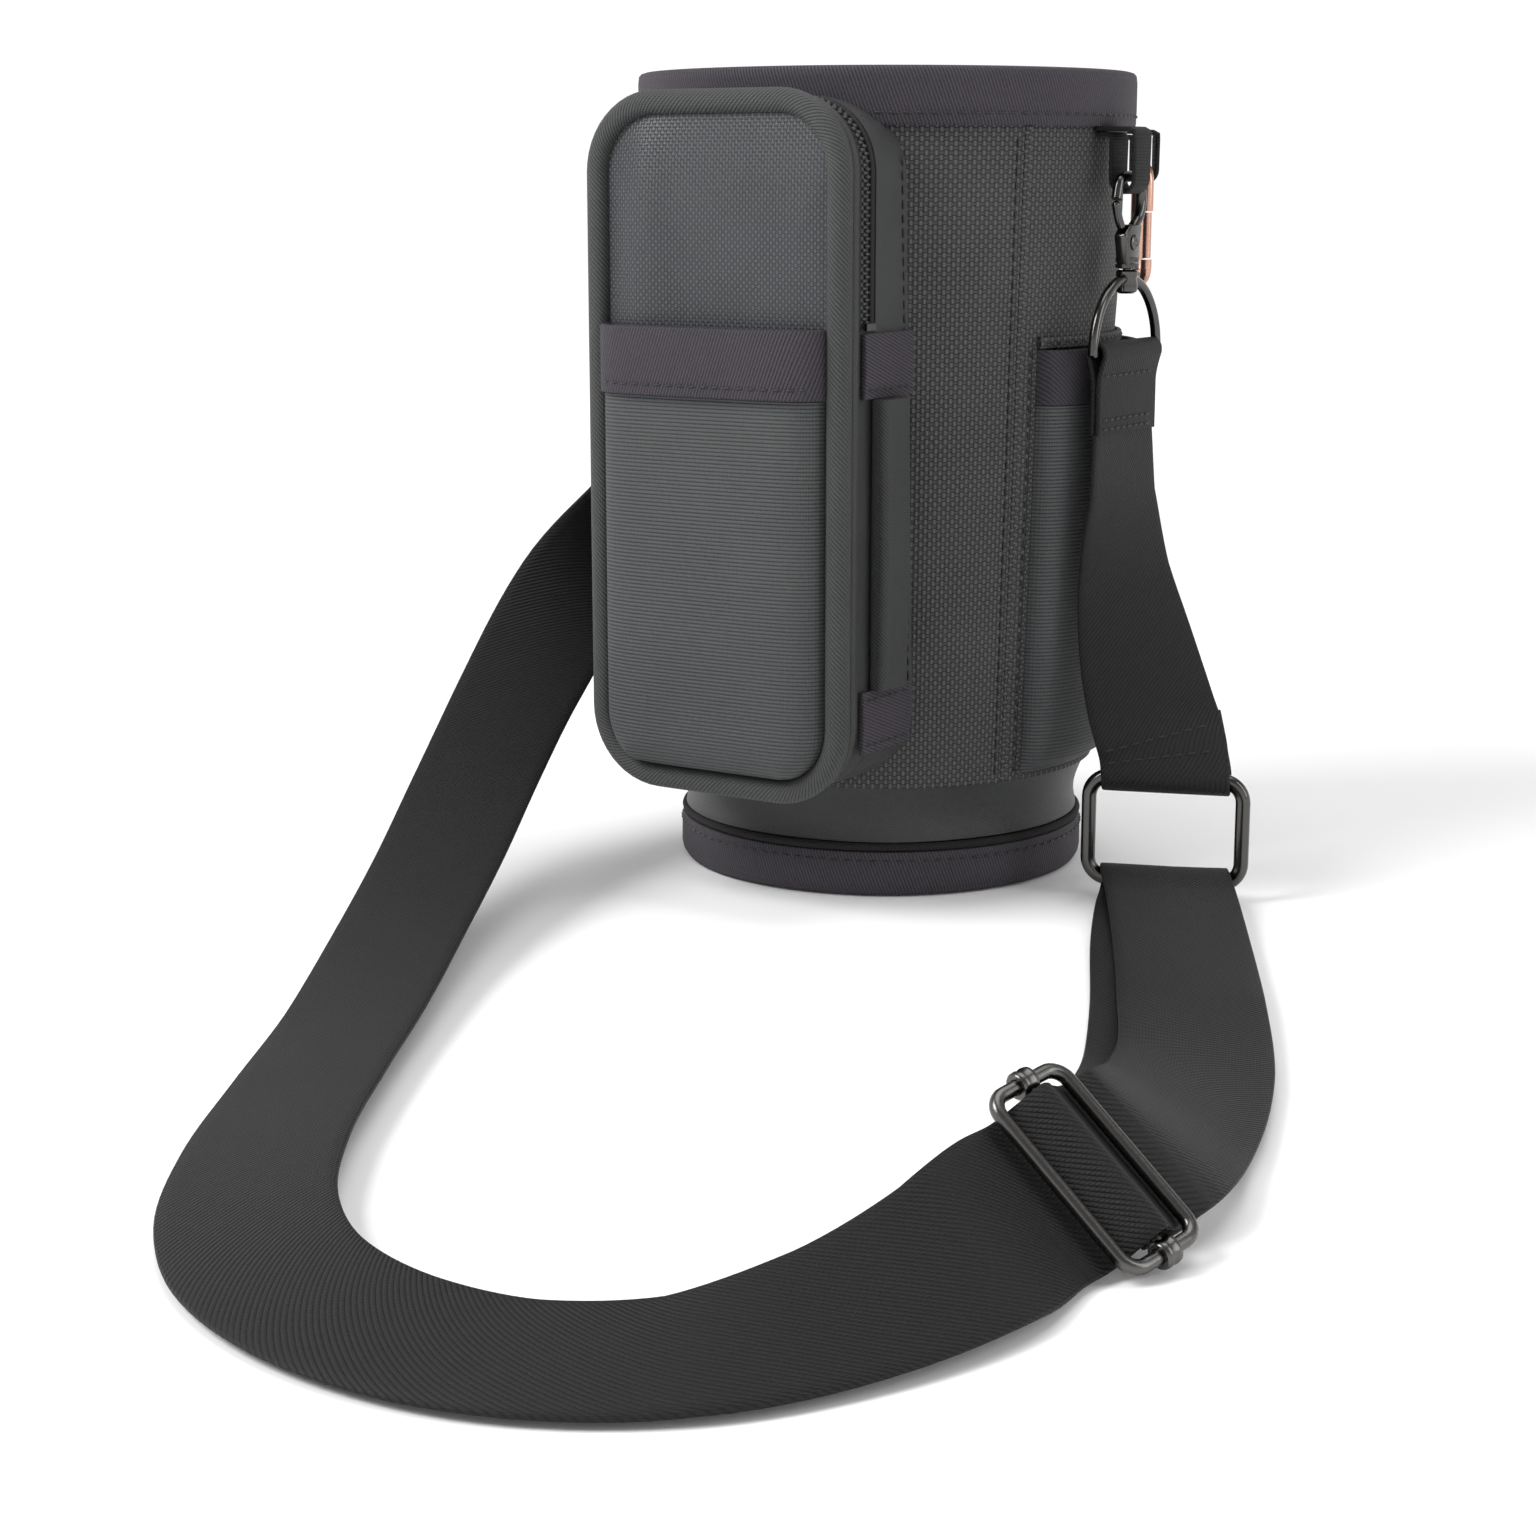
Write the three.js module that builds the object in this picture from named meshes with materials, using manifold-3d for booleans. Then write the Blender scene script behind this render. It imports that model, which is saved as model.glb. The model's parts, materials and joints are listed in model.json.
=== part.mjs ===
// Open-topped cylindrical carry bag with a zip pocket, slip pockets and a shoulder strap.
// Millimetres, +Z up. The origin is the centre of the base where it stands. The zip pocket faces -Y,
// and the strap hangs from loops at +X and -X.
import * as THREE from 'three';
import { mergeVertices } from 'three/addons/utils/BufferGeometryUtils.js';
import Module from 'manifold-3d';

const wasm = await Module();
wasm.setup();

// ---- driving sizes ----
const gap = 0.3;                 // clearance between touching pieces
const bagHeight = 243;
const rimDepth = 16;
const tapeThickness = 1.4;
const wallTopRadius = 74;        // outside of the wall at the rim
const rimEase = 0.6;             // between the wall and the rim binding's outer leg
const wallFootRadius = 67;       // outside of the wall where it meets the foot
const wallThickness = 3;
const liningThickness = 1.2;
const footTop = 34;              // height where the wall ends and the foot starts
const wallRadius = (z) => wallFootRadius
  + (wallTopRadius - wallFootRadius) * (z - footTop) / (bagHeight - footTop);
const rimLow = bagHeight - rimDepth;
const rimRadius = Math.max(wallTopRadius, wallRadius(rimLow)) + rimEase + tapeThickness;
const footWaist = 61.6;          // smallest radius of the foot gusset
const footThickness = 2.4;
const baseRadius = 64;
const baseBindingHeight = 13.5;
const baseCoverThickness = 1.6;
const boardThickness = 2.5;
const seamCordRadius = 1.1;

const pocketWidth = 88;
const pocketBottom = footTop + 1;
const pocketTop = bagHeight - 6.5;
const pocketCorner = 23;
const pocketDepth = 18.2;        // from the rim out to the front panel's face
const pocketFace = Math.max(rimRadius, wallFootRadius + rimEase + tapeThickness) + pocketDepth;
const panelThickness = 2.4;
const pipingWidth = 6.4;
const pipingDepth = 7;
const weltDepth = 3.6;
const zipTapeDepth = 2;
const coilDepth = 4.4;
const pocketWall = 3;            // thickness of the pocket's side wall
const weltInset = 0.9;           // each band's outside, in from the piping's edge
const zipTapeInset = 2;
const coilInset = 1.4;
const sideInset = 1.8;
const slipHeight = 136;
const slipTop = pocketBottom + slipHeight;   // upper edge of the front slip pocket
const zipEnd = slipTop - 1;      // height where the two straight ends of the zip stop
const slipSpace = 6.8;           // room inside the front slip pocket
const slipPanel = 1.8;
const bindingHeight = 19.5;

const sideTape = 1.6;            // tapes that hold the grab strip
const sideTapeLow = 50;
const sideTapeHigh = 68;
const stripWidth = 5.2;          // the grab strip's thickness out from the pocket's side
const stripDepth = 14.8;
const stripForward = 1.5;

const sidePocketStart = 69;      // degrees round from the front
const sidePocketEnd = 159;
const sidePocketHeight = 129;
const sidePocketTop = footTop + sidePocketHeight;
const sidePocketSpace = 5.4;
const sidePocketPanel = 1.4;
const sideBindingHeight = 16;
const sideBindingRise = 0.3;     // the side pocket's binding stands out past its panel
const weltHeight = 3.4;

const webWidth = 38;
const webThickness = 1.6;
const loopWidth = 10;
const loopSpace = 5.8;           // room inside the loop, measured out from the bag
const hookWire = 3.2;
const loopSlack = 2;             // under the hook's wire, inside the loop
const hookWidth = 20;            // outside width of the snap hook
const hookDrop = 14.4;           // from the rim binding down to the hook's top wire
const hookTop = rimLow - hookDrop;
const hookReach = 14.6;
const hookFoot = hookTop - hookReach;        // where the hook's wire meets its plate
const plateHeight = 12;
const plateThickness = 4.2;
const ringWire = 3;              // D-ring wire
const webEase = 1.4;             // spare room beside the web in a D-ring
const dRingInside = webWidth + webEase;
const eyeRise = 1.3;             // from the top of the D-ring to the snap's plate
// The D-ring's straight bar is this high.
const dRingBar = hookFoot - plateHeight - eyeRise - ringWire - dRingInside / 2;
const tabBottom = 139;           // where the webs leave their folded ends
const squareWire = 4.4;          // rectangular ring's wire
const squareInside = webWidth + 3.4;
const squareHeight = 31.6;       // between the two long bars' centres
const adjusterWire = 3.2;
const adjusterInside = webWidth + 3.2;
const adjusterPitch = 10.4;       // centre bar to side bar
const clipWidth = 13;
const clipHeight = 38;
const clipWire = 3.4;
const clipAngle = 133;
const clipLoopWidth = 4.2;
const clipLoopDrop = 17;
const round = 36;                // facets round the bag
const beyond = 200;              // size of a cutting solid that passes right through the bag
const past = 30;                 // how far a cutting solid runs past an end
const loopStandOff = 2.2;         // from the rim binding out to the loop
const tabTurn = ringWire / 2 + gap + webThickness;   // outside of the web's fold round the D-ring
const sideBulge = gap + sidePocketSpace + sidePocketPanel + sideBindingRise;
const hardwareRadius = Math.max(
  rimRadius + loopStandOff + webThickness + loopSpace / 2,
  wallRadius(tabBottom) + sideBulge + gap + tabTurn,
);
const webStart = tabBottom - 2 * gap;        // height where each web carries on below its folded end

// ---- materials ----
const look = (color, roughness, metalness = 0) => (
  new THREE.MeshStandardMaterial({ color, roughness, metalness })
);
const looks = {
  wall: look(0x3f4140, 0.9),
  pocket: look(0x47494b, 0.8),
  tape: look(0x3a363c, 0.85),
  lining: look(0x2a2b2c, 0.9),
  board: look(0x55534f, 0.95),
  web: look(0x171717, 0.85),
  metal: look(0x3c3b38, 0.3, 1),
  rose: look(0xb98b76, 0.3, 1),
  coil: look(0x202020, 0.5),
};

const bag = new THREE.Group();

function addPiece(name, geometry, material, parent = bag) {
  const mesh = new THREE.Mesh(geometry, material);
  mesh.name = name;
  parent.add(mesh);
  return mesh;
}

// ---- solids ----
function toSolid(geometry) {
  const bare = geometry.clone();
  bare.deleteAttribute('normal');
  bare.deleteAttribute('uv');
  const merged = mergeVertices(bare, 1e-4);
  const vertProperties = new Float32Array(merged.attributes.position.array);
  const triVerts = new Uint32Array(merged.index.array);
  return new wasm.Manifold(new wasm.Mesh({ numProp: 3, vertProperties, triVerts }));
}

function toGeometry(solid) {
  const mesh = solid.getMesh();
  const geometry = new THREE.BufferGeometry();
  geometry.setAttribute('position', new THREE.BufferAttribute(mesh.vertProperties, 3));
  geometry.setIndex(new THREE.BufferAttribute(mesh.triVerts, 1));
  return geometry;
}

// A ring turned about Z. The outline runs round the section, up its outer side first.
function turned(outline, segments = round) {
  const points = outline.map(([r, z]) => new THREE.Vector2(r, z));
  if (outline[0][0] > 0) points.push(points[0].clone());
  const geometry = new THREE.LatheGeometry(points, segments);
  geometry.rotateX(Math.PI / 2);
  return geometry;
}

function roundedOutline(width, bottom, top, corner, Kind = THREE.Shape) {
  const shape = new Kind();
  const half = width / 2;
  shape.moveTo(-half + corner, bottom);
  shape.lineTo(half - corner, bottom);
  shape.absarc(half - corner, bottom + corner, corner, -Math.PI / 2, 0, false);
  shape.lineTo(half, top - corner);
  shape.absarc(half - corner, top - corner, corner, 0, Math.PI / 2, false);
  shape.lineTo(-half + corner, top);
  shape.absarc(-half + corner, top - corner, corner, Math.PI / 2, Math.PI, false);
  shape.lineTo(-half, bottom + corner);
  shape.absarc(-half + corner, bottom + corner, corner, Math.PI, Math.PI * 1.5, false);
  return shape;
}

// A flat shape drawn in X and Z, given a thickness from distance `from` to `to` in front of the axis.
function frontPlate(shape, from, to, bevel = 0, steps = 1, curveSegments = 3) {
  const geometry = new THREE.ExtrudeGeometry(shape, {
    depth: to - from - 2 * bevel,
    bevelEnabled: bevel > 0,
    bevelThickness: bevel,
    bevelSize: bevel,
    bevelOffset: -bevel,
    bevelSegments: steps,
    curveSegments,
  });
  geometry.rotateX(Math.PI / 2);
  geometry.translate(0, -from - bevel, 0);
  return geometry;
}

function box(width, depth, height, x, y, z) {
  const geometry = new THREE.BoxGeometry(width, depth, height);
  geometry.translate(x, y, z);
  return geometry;
}

function rodAlong(axis, radius, length, x, y, z, sides = 14) {
  const geometry = new THREE.CylinderGeometry(radius, radius, length, sides);
  if (axis === 'x') geometry.rotateZ(Math.PI / 2);
  if (axis === 'z') geometry.rotateX(Math.PI / 2);
  geometry.translate(x, y, z);
  return geometry;
}

function circleSection(radius, sides) {
  const shape = new THREE.Shape();
  shape.absarc(0, 0, radius, 0, Math.PI * 2, false);
  return { shape, curveSegments: sides / 2 };
}

// A round wire along an open curve.
function wire(curve, radius, steps, sides = 8) {
  const section = circleSection(radius, sides);
  return new THREE.ExtrudeGeometry(section.shape, {
    steps, curveSegments: section.curveSegments, extrudePath: curve, bevelEnabled: false,
  });
}

// A closed wire ring of rounded outline, with its section rounded by a bevel.
function wireFrame(width, height, corner, wireSize) {
  const shape = roundedOutline(width, -height / 2, height / 2, corner);
  const inner = Math.max(corner - wireSize, 0.6);
  const reach = height / 2 - wireSize;
  const inside = roundedOutline(width - 2 * wireSize, -reach, reach, inner, THREE.Path);
  shape.holes.push(inside);
  return frontPlate(shape, -wireSize / 2, wireSize / 2, wireSize * 0.29, 1, 2);
}

// The wall's outside face moved out by `offset`, as a solid cone from below the foot to above the rim.
function wallCone(offset) {
  const low = -past;
  const high = bagHeight + past;
  const outline = [[0, low], [wallRadius(low) + offset, low], [wallRadius(high) + offset, high], [0, high]];
  return toSolid(turned(outline, round));
}

// A patch lying on the wall between two angles, degrees round from the front towards +X.
function wallPatch(from, to, low, high, inset, outset) {
  const shape = new THREE.Shape();
  shape.moveTo(0, 0);
  for (const deg of [from, (from + to) / 2, to]) {
    const angle = THREE.MathUtils.degToRad(deg);
    shape.lineTo(beyond * Math.sin(angle), -beyond * Math.cos(angle));
  }
  const wedge = new THREE.ExtrudeGeometry(shape, { depth: high - low, bevelEnabled: false });
  wedge.translate(0, 0, low);
  return toSolid(wedge).intersect(wallCone(outset)).subtract(wallCone(inset));
}

// ---- bag body ----
function addBody() {
  const innerWall = (z) => wallRadius(z) - wallThickness;
  const wallTop = bagHeight - tapeThickness - gap;
  addPiece('body_wall', turned([
    [wallFootRadius, footTop], [wallRadius(wallTop), wallTop], [innerWall(wallTop), wallTop],
    [innerWall(footTop), footTop],
  ]), looks.wall);

  const liningFloor = baseCoverThickness + boardThickness + 2 * gap;
  const liningFoot = footWaist - footThickness - gap;
  const liningTop = rimLow;
  const liningOut = innerWall(liningTop) - gap;
  const liningLow = innerWall(footTop + 4) - gap;
  const t = liningThickness;
  addPiece('lining', turned([
    [0, liningFloor], [liningFoot - 1.2, liningFloor], [liningFoot - 1.2, footTop - 8],
    [liningLow, footTop + 4], [liningOut, liningTop], [liningOut - t, liningTop],
    [liningLow - t, footTop + 4.4], [liningFoot - 1.2 - t, footTop - 7.6],
    [liningFoot - 1.2 - t, liningFloor + t], [0, liningFloor + t],
  ]), looks.lining);

  const bindingIn = baseRadius - tapeThickness;
  addPiece('base_cover', turned([
    [0, 0], [bindingIn - gap, 0], [bindingIn - gap, baseCoverThickness], [0, baseCoverThickness],
  ]), looks.wall);
  const boardLow = baseCoverThickness + gap;
  const boardTop = boardLow + boardThickness;
  addPiece('base_board', turned([
    [0, boardLow], [liningFoot - 1.2, boardLow], [liningFoot - 1.2, boardTop], [0, boardTop],
  ]), looks.board);
  addPiece('base_binding', turned([
    [bindingIn, 0], [baseRadius - 1, 0], [baseRadius, 2.4], [baseRadius, baseBindingHeight - 1],
    [baseRadius - 0.6, baseBindingHeight], [bindingIn, baseBindingHeight],
  ]), looks.tape);

  const cordAt = baseBindingHeight + gap + seamCordRadius;
  const cord = [];
  for (let i = 0; i < 6; i += 1) {
    const a = i * Math.PI / 3 - Math.PI / 2;
    cord.push([bindingIn + 0.4 + seamCordRadius * Math.cos(a), cordAt + seamCordRadius * Math.sin(a)]);
  }
  addPiece('foot_seam_cord', turned(cord), looks.web);

  const low = cordAt + seamCordRadius + gap;
  const high = footTop - gap;
  const f = footThickness;
  addPiece('foot_gusset', turned([
    [footWaist + 0.8, low], [footWaist, low + 4], [footWaist + 1, (low + high) / 2 + 1],
    [wallFootRadius - 1.4, high], [wallFootRadius - 1.4 - f, high],
    [footWaist + 1 - f, (low + high) / 2 + 1.6], [footWaist - f, low + 4], [footWaist - f, low],
  ]), looks.wall);

  const outLeg = rimRadius - tapeThickness;
  const inLeg = Math.min(innerWall(rimLow), innerWall(wallTop)) - gap;
  addPiece('rim_binding', turned([
    [outLeg, rimLow], [rimRadius - 0.3, rimLow], [rimRadius, rimLow + 2], [rimRadius, bagHeight - 1.6],
    [rimRadius - 1.4, bagHeight], [inLeg - tapeThickness + 1, bagHeight],
    [inLeg - tapeThickness, bagHeight - 1],
    [inLeg - tapeThickness, rimLow + gap], [inLeg, rimLow + gap],
    [inLeg, bagHeight - tapeThickness], [outLeg, bagHeight - tapeThickness],
  ]), looks.tape);
}

// ---- zip pocket ----
const pocketRing = (inset, wall, corner = pocketCorner) => {
  const outline = (depth, Kind) => roundedOutline(
    pocketWidth - 2 * depth, pocketBottom + depth, pocketTop - depth, corner - depth, Kind,
  );
  const shape = outline(inset, THREE.Shape);
  shape.holes.push(outline(inset + wall, THREE.Path));
  return shape;
};

// Everything in front of the bag's axis between two heights.
function slab(low, high) {
  return toSolid(box(beyond, beyond, high - low, 0, -beyond / 2, (low + high) / 2));
}

function addPocket() {
  const face = pocketFace;
  const front = face + 0.4 * pipingDepth;
  const pipingBack = front - pipingDepth;
  const piping = pocketRing(0, pipingWidth);
  addPiece('pocket_piping', frontPlate(piping, pipingBack, front, 1.9, 1, 3), looks.pocket);
  const weltBack = pipingBack - gap - weltDepth;
  const welt = pocketRing(weltInset, pocketWall + 1);
  addPiece('pocket_welt', frontPlate(welt, weltBack, pipingBack - gap, 1.2, 1, 3), looks.pocket);

  const inside = roundedOutline(pocketWidth - 2 * (pipingWidth + gap), pocketBottom + pipingWidth + gap,
    pocketTop - pipingWidth - gap, pocketCorner - pipingWidth - gap);
  addPiece('pocket_front_panel', frontPlate(inside, face - panelThickness, face), looks.pocket);

  const tapeFront = weltBack - gap;
  const coilFront = tapeFront - zipTapeDepth - gap;
  const coilBack = coilFront - coilDepth;
  const tapeBack = coilBack - gap - zipTapeDepth;
  const above = slab(zipEnd, bagHeight + past);
  const below = slab(-past, zipEnd - gap);
  const band = (from, to, inset, wall) => toSolid(frontPlate(pocketRing(inset, wall), from, to));
  const tapeBand = (from, to) => band(from, to, zipTapeInset, 1.2);
  const sideBand = (from, to) => band(from, to, sideInset, pocketWall);
  const body = wallCone(gap);
  const rim = (room) => toSolid(turned([
    [0, rimLow - gap], [rimRadius + room, rimLow - gap],
    [rimRadius + room, bagHeight + past], [0, bagHeight + past],
  ]));
  const addCut = (name, solid, room, material) => {
    addPiece(name, toGeometry(solid.subtract(body).subtract(rim(room))), material);
  };
  addCut('zip_tape_front', tapeBand(coilFront + gap, tapeFront).intersect(above), gap, looks.coil);
  addCut('zip_coil', band(coilBack, coilFront, coilInset, 2.4).intersect(above), gap, looks.coil);
  addCut('zip_tape_rear', tapeBand(tapeBack, coilBack - gap).intersect(above), gap, looks.coil);
  addCut('pocket_side_lower', sideBand(tapeBack, tapeFront).intersect(below), gap, looks.wall);
  addCut('pocket_side_rear', sideBand(wallFootRadius / 2, tapeBack - gap), gap + rimEase, looks.wall);
  return { tapeFront, coilFront, coilBack };
}

function addSlipPocket() {
  const sideRoom = 2 * (pipingWidth + gap);
  const low = pocketBottom + pipingWidth + gap;
  const corner = pocketCorner - pipingWidth - gap;
  const outline = roundedOutline(pocketWidth - sideRoom, low, slipTop + past, corner);
  const hollow = roundedOutline(pocketWidth - sideRoom - 4, low + 2, slipTop + past, corner - 2);
  const back = pocketFace + gap;
  const full = toSolid(frontPlate(outline, back, back + slipSpace + slipPanel));
  const room = toSolid(frontPlate(hollow, back - 5, back + slipSpace));
  const bindingLow = slipTop - bindingHeight;
  const pocket = full.subtract(room).intersect(slab(-past, bindingLow - gap));
  addPiece('slip_pocket_panel', toGeometry(pocket), looks.pocket);
  const widthTape = pocketWidth - sideRoom;
  const bindingDepth = slipSpace + slipPanel + 0.9;
  const tape = toSolid(box(widthTape, bindingDepth, bindingHeight, 0,
    -back - bindingDepth / 2, slipTop - bindingHeight / 2));
  const tapeRoom = toSolid(box(widthTape - 4, slipSpace + 5, bindingHeight + 2, 0,
    -back - (slipSpace - 5) / 2, slipTop - bindingHeight / 2));
  addPiece('slip_pocket_binding', toGeometry(tape.subtract(tapeRoom)), looks.tape);
}

// The slider rides on the left straight end of the coil, and its pull hangs from a bar on it.
function addZipSlider(zip) {
  const middle = -(zip.coilFront + zip.coilBack) / 2;
  const x = -(pocketWidth / 2 - coilInset);
  const z = zipEnd + 14;
  const plate = 1.2;
  addPiece('zip_slider', toGeometry(
    toSolid(box(plate, 7.4, 11, x - gap - plate / 2, middle, z))
      .add(toSolid(box(2.4, 1.2, 1.6, x - gap - plate - 0.9, middle, z + 3.4)))
      .add(toSolid(box(2.4, 1.2, 1.6, x - gap - plate - 0.9, middle, z - 3.4)))
      .add(toSolid(box(0.9, 1.2, 8.4, x - gap - plate - 2.5, middle, z))),
  ), looks.metal);
  const pullX = x - gap - plate - 1.2;
  const pull = roundedOutline(6.4, -22, 0.7, 1);
  pull.holes.push(roundedOutline(3.2, -5.2, -0.7, 0.5, THREE.Path));
  const geometry = frontPlate(pull, -0.45, 0.45, 0, 1, 3);
  geometry.rotateZ(Math.PI / 2);
  geometry.translate(pullX, middle, z - 0.4);
  addPiece('zip_pull', geometry, looks.metal);
  for (const [name, side] of [['zip_stop_left', -1], ['zip_stop_right', 1]]) {
    const at = side * (pocketWidth / 2 - coilInset + gap + 0.5);
    addPiece(name, box(1, 5, 2, at, middle, zipEnd + 1.4), looks.metal);
  }
}

// ---- grab strip on the pocket's right side ----
function addGrabStrip(zip) {
  const reach = pocketWidth / 2 - sideInset + gap;
  const near = zip.tapeFront - 1;
  const widest = Math.max(wallRadius(slipTop), wallRadius(sideTapeLow));
  const far = Math.sqrt(widest ** 2 - reach ** 2) + 2 * gap;
  const mid = (near + far) / 2;
  const upperLow = slipTop - bindingHeight;
  const tapes = [
    ['side_tape_upper', upperLow, slipTop - 1.4],
    ['side_tape_lower', sideTapeLow, sideTapeHigh],
  ];
  for (const [name, low, high] of tapes) {
    const tape = box(sideTape, near - far, high - low, reach + sideTape / 2, -mid, (low + high) / 2);
    addPiece(name, tape, looks.tape);
  }
  const strip = roundedOutline(stripWidth, sideTapeHigh + gap, upperLow - gap, stripWidth * 0.42);
  const geometry = frontPlate(strip, -stripDepth / 2, stripDepth / 2, 0, 1, 3);
  geometry.translate(reach + stripWidth / 2 + gap, -mid - stripForward, 0);
  addPiece('grab_strip', geometry, looks.wall);
}

// ---- side slip pocket ----
function addSidePocket() {
  const [a, b] = [sidePocketStart, sidePocketEnd];
  const low = footTop + 2;
  const bindingLow = sidePocketTop - sideBindingHeight;
  const reach = gap + sidePocketSpace;
  const edge = 2;
  const hollowed = (from, to, floor) => wallPatch(a, b, from, to, gap, reach + sidePocketPanel)
    .subtract(wallPatch(a + edge, b - edge, from + floor, to + 5, -5, reach));
  addPiece('side_pocket_panel', toGeometry(hollowed(low, bindingLow - gap, 2)), looks.pocket);
  const binding = wallPatch(a, b, bindingLow, sidePocketTop, gap, reach + sidePocketPanel + sideBindingRise)
    .subtract(wallPatch(a + edge, b - edge, bindingLow - 5, sidePocketTop + 5, -5, reach));
  addPiece('side_pocket_binding', toGeometry(binding), looks.tape);
  const weltLow = sidePocketTop + gap;
  const welt = wallPatch(a, b, weltLow, weltLow + weltHeight, gap, gap + 1.8);
  addPiece('side_pocket_welt', toGeometry(welt), looks.wall);
}

// ---- strap hardware, drawn at the front and turned to its place ----
function addLoop(name, parent, width, low) {
  const high = rimLow - gap;
  const tail = hardwareRadius - wallRadius(rimLow) - gap;   // its sewn end runs in to the wall
  const outer = new THREE.Shape();
  const half = loopSpace / 2 + webThickness;
  outer.moveTo(-half, high);
  outer.lineTo(-half, low + half);
  outer.absarc(0, low + half, half, Math.PI, Math.PI * 2, false);
  outer.lineTo(half, high - webThickness);
  outer.lineTo(tail, high - webThickness);
  outer.lineTo(tail, high);
  outer.lineTo(-half, high);
  const hole = new THREE.Path();
  const r = loopSpace / 2;
  hole.moveTo(-r, high - webThickness);
  hole.lineTo(-r, low + half);
  hole.absarc(0, low + half, r, Math.PI, Math.PI * 2, false);
  hole.lineTo(r, high - webThickness);
  hole.lineTo(-r, high - webThickness);
  outer.holes.push(hole);
  const geometry = frontPlate(outer, -width / 2, width / 2, 0, 1, 4);
  geometry.rotateZ(Math.PI / 2);
  geometry.translate(0, -hardwareRadius, 0);
  addPiece(name, geometry, looks.web, parent);
}

function addSnap(side, parent) {
  const y = -hardwareRadius;
  const w = hookWidth / 2 - hookWire / 2;
  const gateTop = hookTop - 7;
  const points = [
    [2.6, hookFoot - 0.5], [w * 0.82, hookFoot + 3], [w, hookTop - 6.5], [w * 0.72, hookTop - 1.2],
    [0, hookTop], [-w * 0.72, hookTop - 1.2], [-w * 0.98, gateTop + 0.6],
  ];
  const curve = new THREE.CatmullRomCurve3(points.map(([x, z]) => new THREE.Vector3(x, y, z)));
  const plateLow = hookFoot - plateHeight;
  const plate = new THREE.Shape();
  plate.moveTo(-3, plateLow);
  plate.lineTo(3, plateLow);
  plate.lineTo(5.6, hookFoot + 0.8);
  plate.lineTo(-2.2, hookFoot + 0.8);
  plate.lineTo(-5.4, hookFoot - 2.2);
  const half = plateThickness / 2;
  const rivet = rodAlong('y', 1.9, plateThickness + 2, 0, y, hookFoot - 4.4);
  const rivetHole = rodAlong('y', 1.9 + gap, plateThickness + 4, 0, y, hookFoot - 4.4);
  const neckHole = rodAlong('z', 1.3 + gap, 8, 0, y, plateLow + 1);
  const hook = toSolid(wire(curve, hookWire / 2, 16))
    .add(toSolid(frontPlate(plate, -y - half, -y + half, 0.5, 1)))
    .subtract(toSolid(rivetHole)).subtract(toSolid(neckHole));
  addPiece(`snap_hook_${side}`, toGeometry(hook), looks.metal, parent);
  addPiece(`snap_rivet_${side}`, rivet, looks.metal, parent);

  const gatePoints = [[-4.9, hookFoot + 0.4], [-6.6, hookFoot + 2.6], [-w * 0.99, gateTop - 1.2]];
  const gateCurve = new THREE.CatmullRomCurve3(gatePoints.map(([x, z]) => new THREE.Vector3(x, y, z)));
  addPiece(`snap_gate_${side}`, wire(gateCurve, hookWire / 2 - 0.3, 4), looks.metal, parent);

  const ringTop = dRingBar + dRingInside / 2 + ringWire;
  const eyeLow = ringTop - ringWire - 3;
  const eye = toSolid(box(6, 7, plateLow - gap - eyeLow, 0, y, (plateLow - gap + eyeLow) / 2))
    .add(toSolid(rodAlong('z', 1.3, 6, 0, y, plateLow + 1)))
    .subtract(toSolid(dRingWire(y, ringWire / 2 + gap)));
  addPiece(`snap_eye_${side}`, toGeometry(eye), looks.metal, parent);
}

// The D-ring's arc over its straight bar, as one closed ring.
function dRingWire(y, radius) {
  const arc = dRingInside / 2 + ringWire / 2;
  const outer = new THREE.Shape();
  const r = arc + radius;
  outer.moveTo(-r, dRingBar - radius);
  outer.lineTo(r, dRingBar - radius);
  outer.lineTo(r, dRingBar);
  outer.absarc(0, dRingBar, r, 0, Math.PI, false);
  outer.lineTo(-r, dRingBar - radius);
  const inner = new THREE.Path();
  const s = arc - radius;
  inner.moveTo(-s + 1, dRingBar + radius);
  inner.lineTo(s - 1, dRingBar + radius);
  inner.absarc(0, dRingBar, s, 0.1, Math.PI - 0.1, false);
  inner.lineTo(-s + 1, dRingBar + radius);
  outer.holes.push(inner);
  return frontPlate(outer, -y - radius, -y + radius, radius * 0.58, 1, 9);
}

function addTab(side, parent) {
  const turn = tabTurn;
  const shape = new THREE.Shape();
  shape.moveTo(-webThickness, tabBottom);
  shape.lineTo(webThickness, tabBottom);
  shape.lineTo(webThickness + 0.1, dRingBar - 8);
  shape.lineTo(turn, dRingBar - 1.5);
  shape.absarc(0, dRingBar, turn, 0, Math.PI, false);
  shape.lineTo(-turn, dRingBar - 1.5);
  shape.lineTo(-webThickness - 0.1, dRingBar - 8);
  const hole = new THREE.Path();
  hole.absarc(0, dRingBar, ringWire / 2 + gap + 0.1, 0, Math.PI * 2, false);
  shape.holes.push(hole);
  const geometry = frontPlate(shape, -webWidth / 2, webWidth / 2, 0, 1, 8);
  geometry.rotateZ(Math.PI / 2);
  geometry.translate(0, -hardwareRadius, 0);
  addPiece(`strap_tab_${side}`, geometry, looks.web, parent);
}

function addStrapEnd(side, angle) {
  const place = new THREE.Group();
  place.rotation.z = THREE.MathUtils.degToRad(angle);
  bag.add(place);
  const loopLow = hookTop - hookWire / 2 - loopSlack - webThickness;
  addLoop(`strap_loop_${side}`, place, loopWidth, loopLow);
  addSnap(side, place);
  addPiece(`d_ring_${side}`, dRingWire(-hardwareRadius, ringWire / 2), looks.metal, place);
  addTab(side, place);
}

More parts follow.
